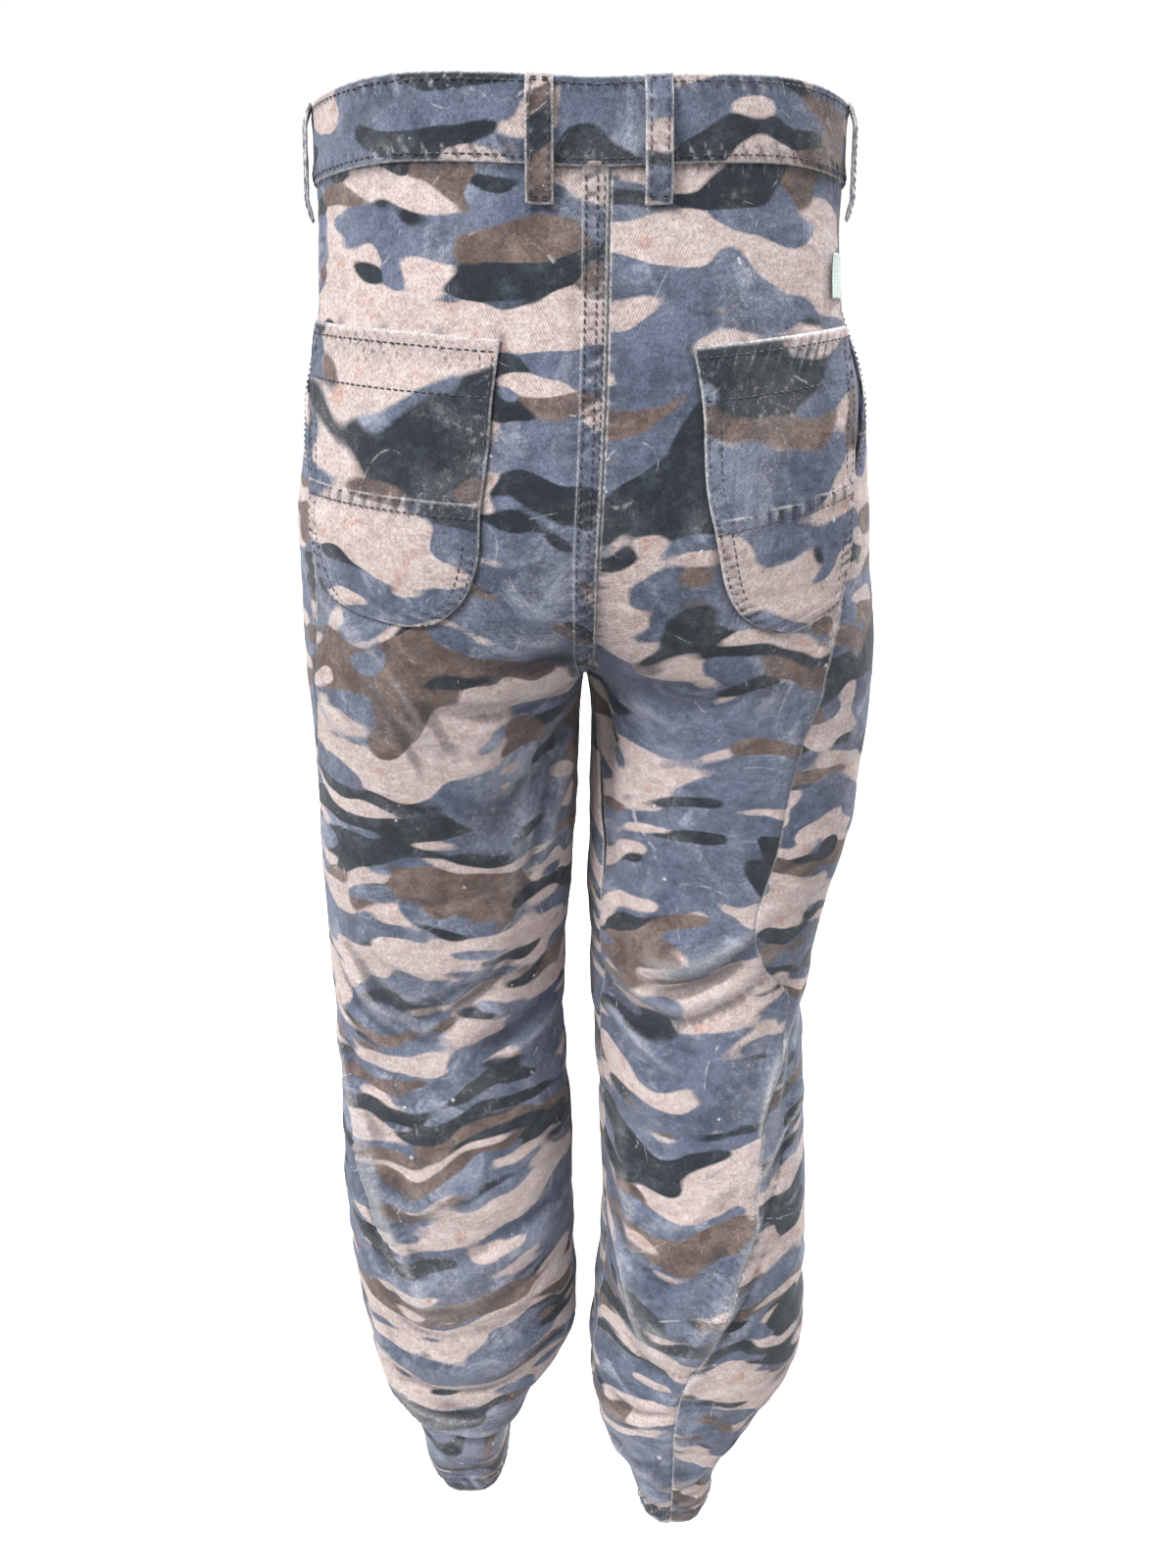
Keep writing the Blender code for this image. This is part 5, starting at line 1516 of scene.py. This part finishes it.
# fly: the edge of the lap and the curved row beside it
z = np.linspace(BAND_FOOT - 0.003, -0.200, 160)
for inset in (0.0020, 0.0080):
    RUNS.append(run_on(1, TABLES[1].level("front_end", z) + SEAM_GAP / 2 + inset, z, 0.0006 + LAP_PROUD))
z = np.linspace(BAND_FOOT - 0.003, -0.168, 140)
for wide in (0.034, 0.028):
    RUNS.append(run_on(1, TABLES[1].level("front_end", z) + wide * (1 - smooth(-0.120, -0.172, z) * 0.9), z, 0.0006))
# front pocket mouths
z = np.linspace(BAND_FOOT - 0.003, MOUTH_FOOT + 0.004, 150)
for side in (1, -1):
    for inset in (0.0022, 0.0085):
        RUNS.append(run_on(side, TABLES[side].level("outseam", z) - mouth_width(z) - inset, z, 0.0006))
# hems
for side in (1, -1):
    foot = LEGS[side][-1, 0]
    level = foot + HEM_DEPTH - 0.002
    girth = float(TABLES[side].level("girth", level))
    s = np.linspace(0, girth, 400) + float(TABLES[side].level("front_end", level))
    RUNS.append(run_on(side, s, np.full(s.shape, level), HEM_PROUD + 0.0006))
stitch_mesh("stitches", RUNS, MATERIALS["thread"])

for name in ("waist_button",):
    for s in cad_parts[name].material_slots:
        s.material = MATERIALS["metal"]

# ---- floor, light and camera --------------------------------------------------
floor_mesh = bpy.data.meshes.new("floor")
floor_mesh.from_pydata([(-40, -40, -1.30), (40, -40, -1.30), (40, 40, -1.30), (-40, 40, -1.30)], [], [(0, 1, 2, 3)])
floor = bpy.data.objects.new("floor", floor_mesh)
pale, tree, principled = shader("pale_floor", 0.95)
w = Wire(tree)
grain = w.noise(w.node("ShaderNodeTexCoord").outputs["Object"], 3.0, 2.0)
w.put(principled.inputs["Base Color"], w.mix(grain, (0.93, 0.93, 0.93), (0.95, 0.95, 0.95)))
floor_mesh.materials.append(pale)
bpy.context.scene.collection.objects.link(floor)
floor.visible_diffuse = False  # its bounce would flatten the folds from below


def lamp(name, place, target, power, size, colour=(1, 1, 1)):
    data = bpy.data.lights.new(name, "AREA")
    data.energy, data.size, data.color = power, size, colour
    obj = bpy.data.objects.new(name, data)
    obj.location = place
    obj.rotation_euler = (Vector(target) - Vector(place)).to_track_quat("-Z", "Y").to_euler()
    bpy.context.scene.collection.objects.link(obj)


def distant(name, direction, strength, spread, colour=(1, 1, 1)):
    """A far soft light that shines along a direction."""
    data = bpy.data.lights.new(name, "SUN")
    data.energy, data.angle, data.color = strength, math.radians(spread), colour
    obj = bpy.data.objects.new(name, data)
    obj.rotation_euler = Vector(direction).to_track_quat("-Z", "Y").to_euler()
    bpy.context.scene.collection.objects.link(obj)


distant("key", (-0.62, -0.56, -0.84), 3.45, 20)
distant("front_key", (0.62, 0.56, -0.84), 3.45, 20)
lamp("fill", (-1.9, 1.3, 0.3), (0, 0, -0.5), 7, 1.6)
lamp("front_fill", (1.9, -1.2, 0.2), (0, 0, -0.6), 7, 1.6)

# a white horizon under a dimmer sky
world = bpy.data.worlds.new("studio")
world.use_nodes = True
w = Wire(world.node_tree)
height = w.node("ShaderNodeSeparateXYZ")
w.put(height.inputs[0], w.node("ShaderNodeTexCoord").outputs["Generated"])
sky = w.ramp(height.outputs[2], 0.24, 0.50)
below = w.math("SUBTRACT", 1.0, w.ramp(height.outputs[2], -0.36, -0.03))
background = world.node_tree.nodes["Background"]
w.put(background.inputs["Color"], w.mix(below, w.mix(sky, (1.0, 1.0, 1.0), (0.46, 0.47, 0.49)), (0.26, 0.26, 0.27)))
background.inputs["Strength"].default_value = 1.02
bpy.context.scene.world = world
bpy.context.scene.view_settings.view_transform = "Standard"

pitch, yaw = math.radians(23.2), math.radians(-3.26)
camera = bpy.data.objects.new("camera", bpy.data.cameras.new("camera"))
camera.data.lens, camera.data.sensor_width = 27.045, 36.0
camera.location = (0.040, 0.75, -0.07)
ahead = Vector((math.sin(yaw) * math.cos(pitch), -math.cos(yaw) * math.cos(pitch), -math.sin(pitch)))
camera.rotation_euler = ahead.to_track_quat("-Z", "Y").to_euler()
camera.data.clip_start, camera.data.clip_end = 0.05, 50
bpy.context.scene.collection.objects.link(camera)
bpy.context.scene.camera = camera
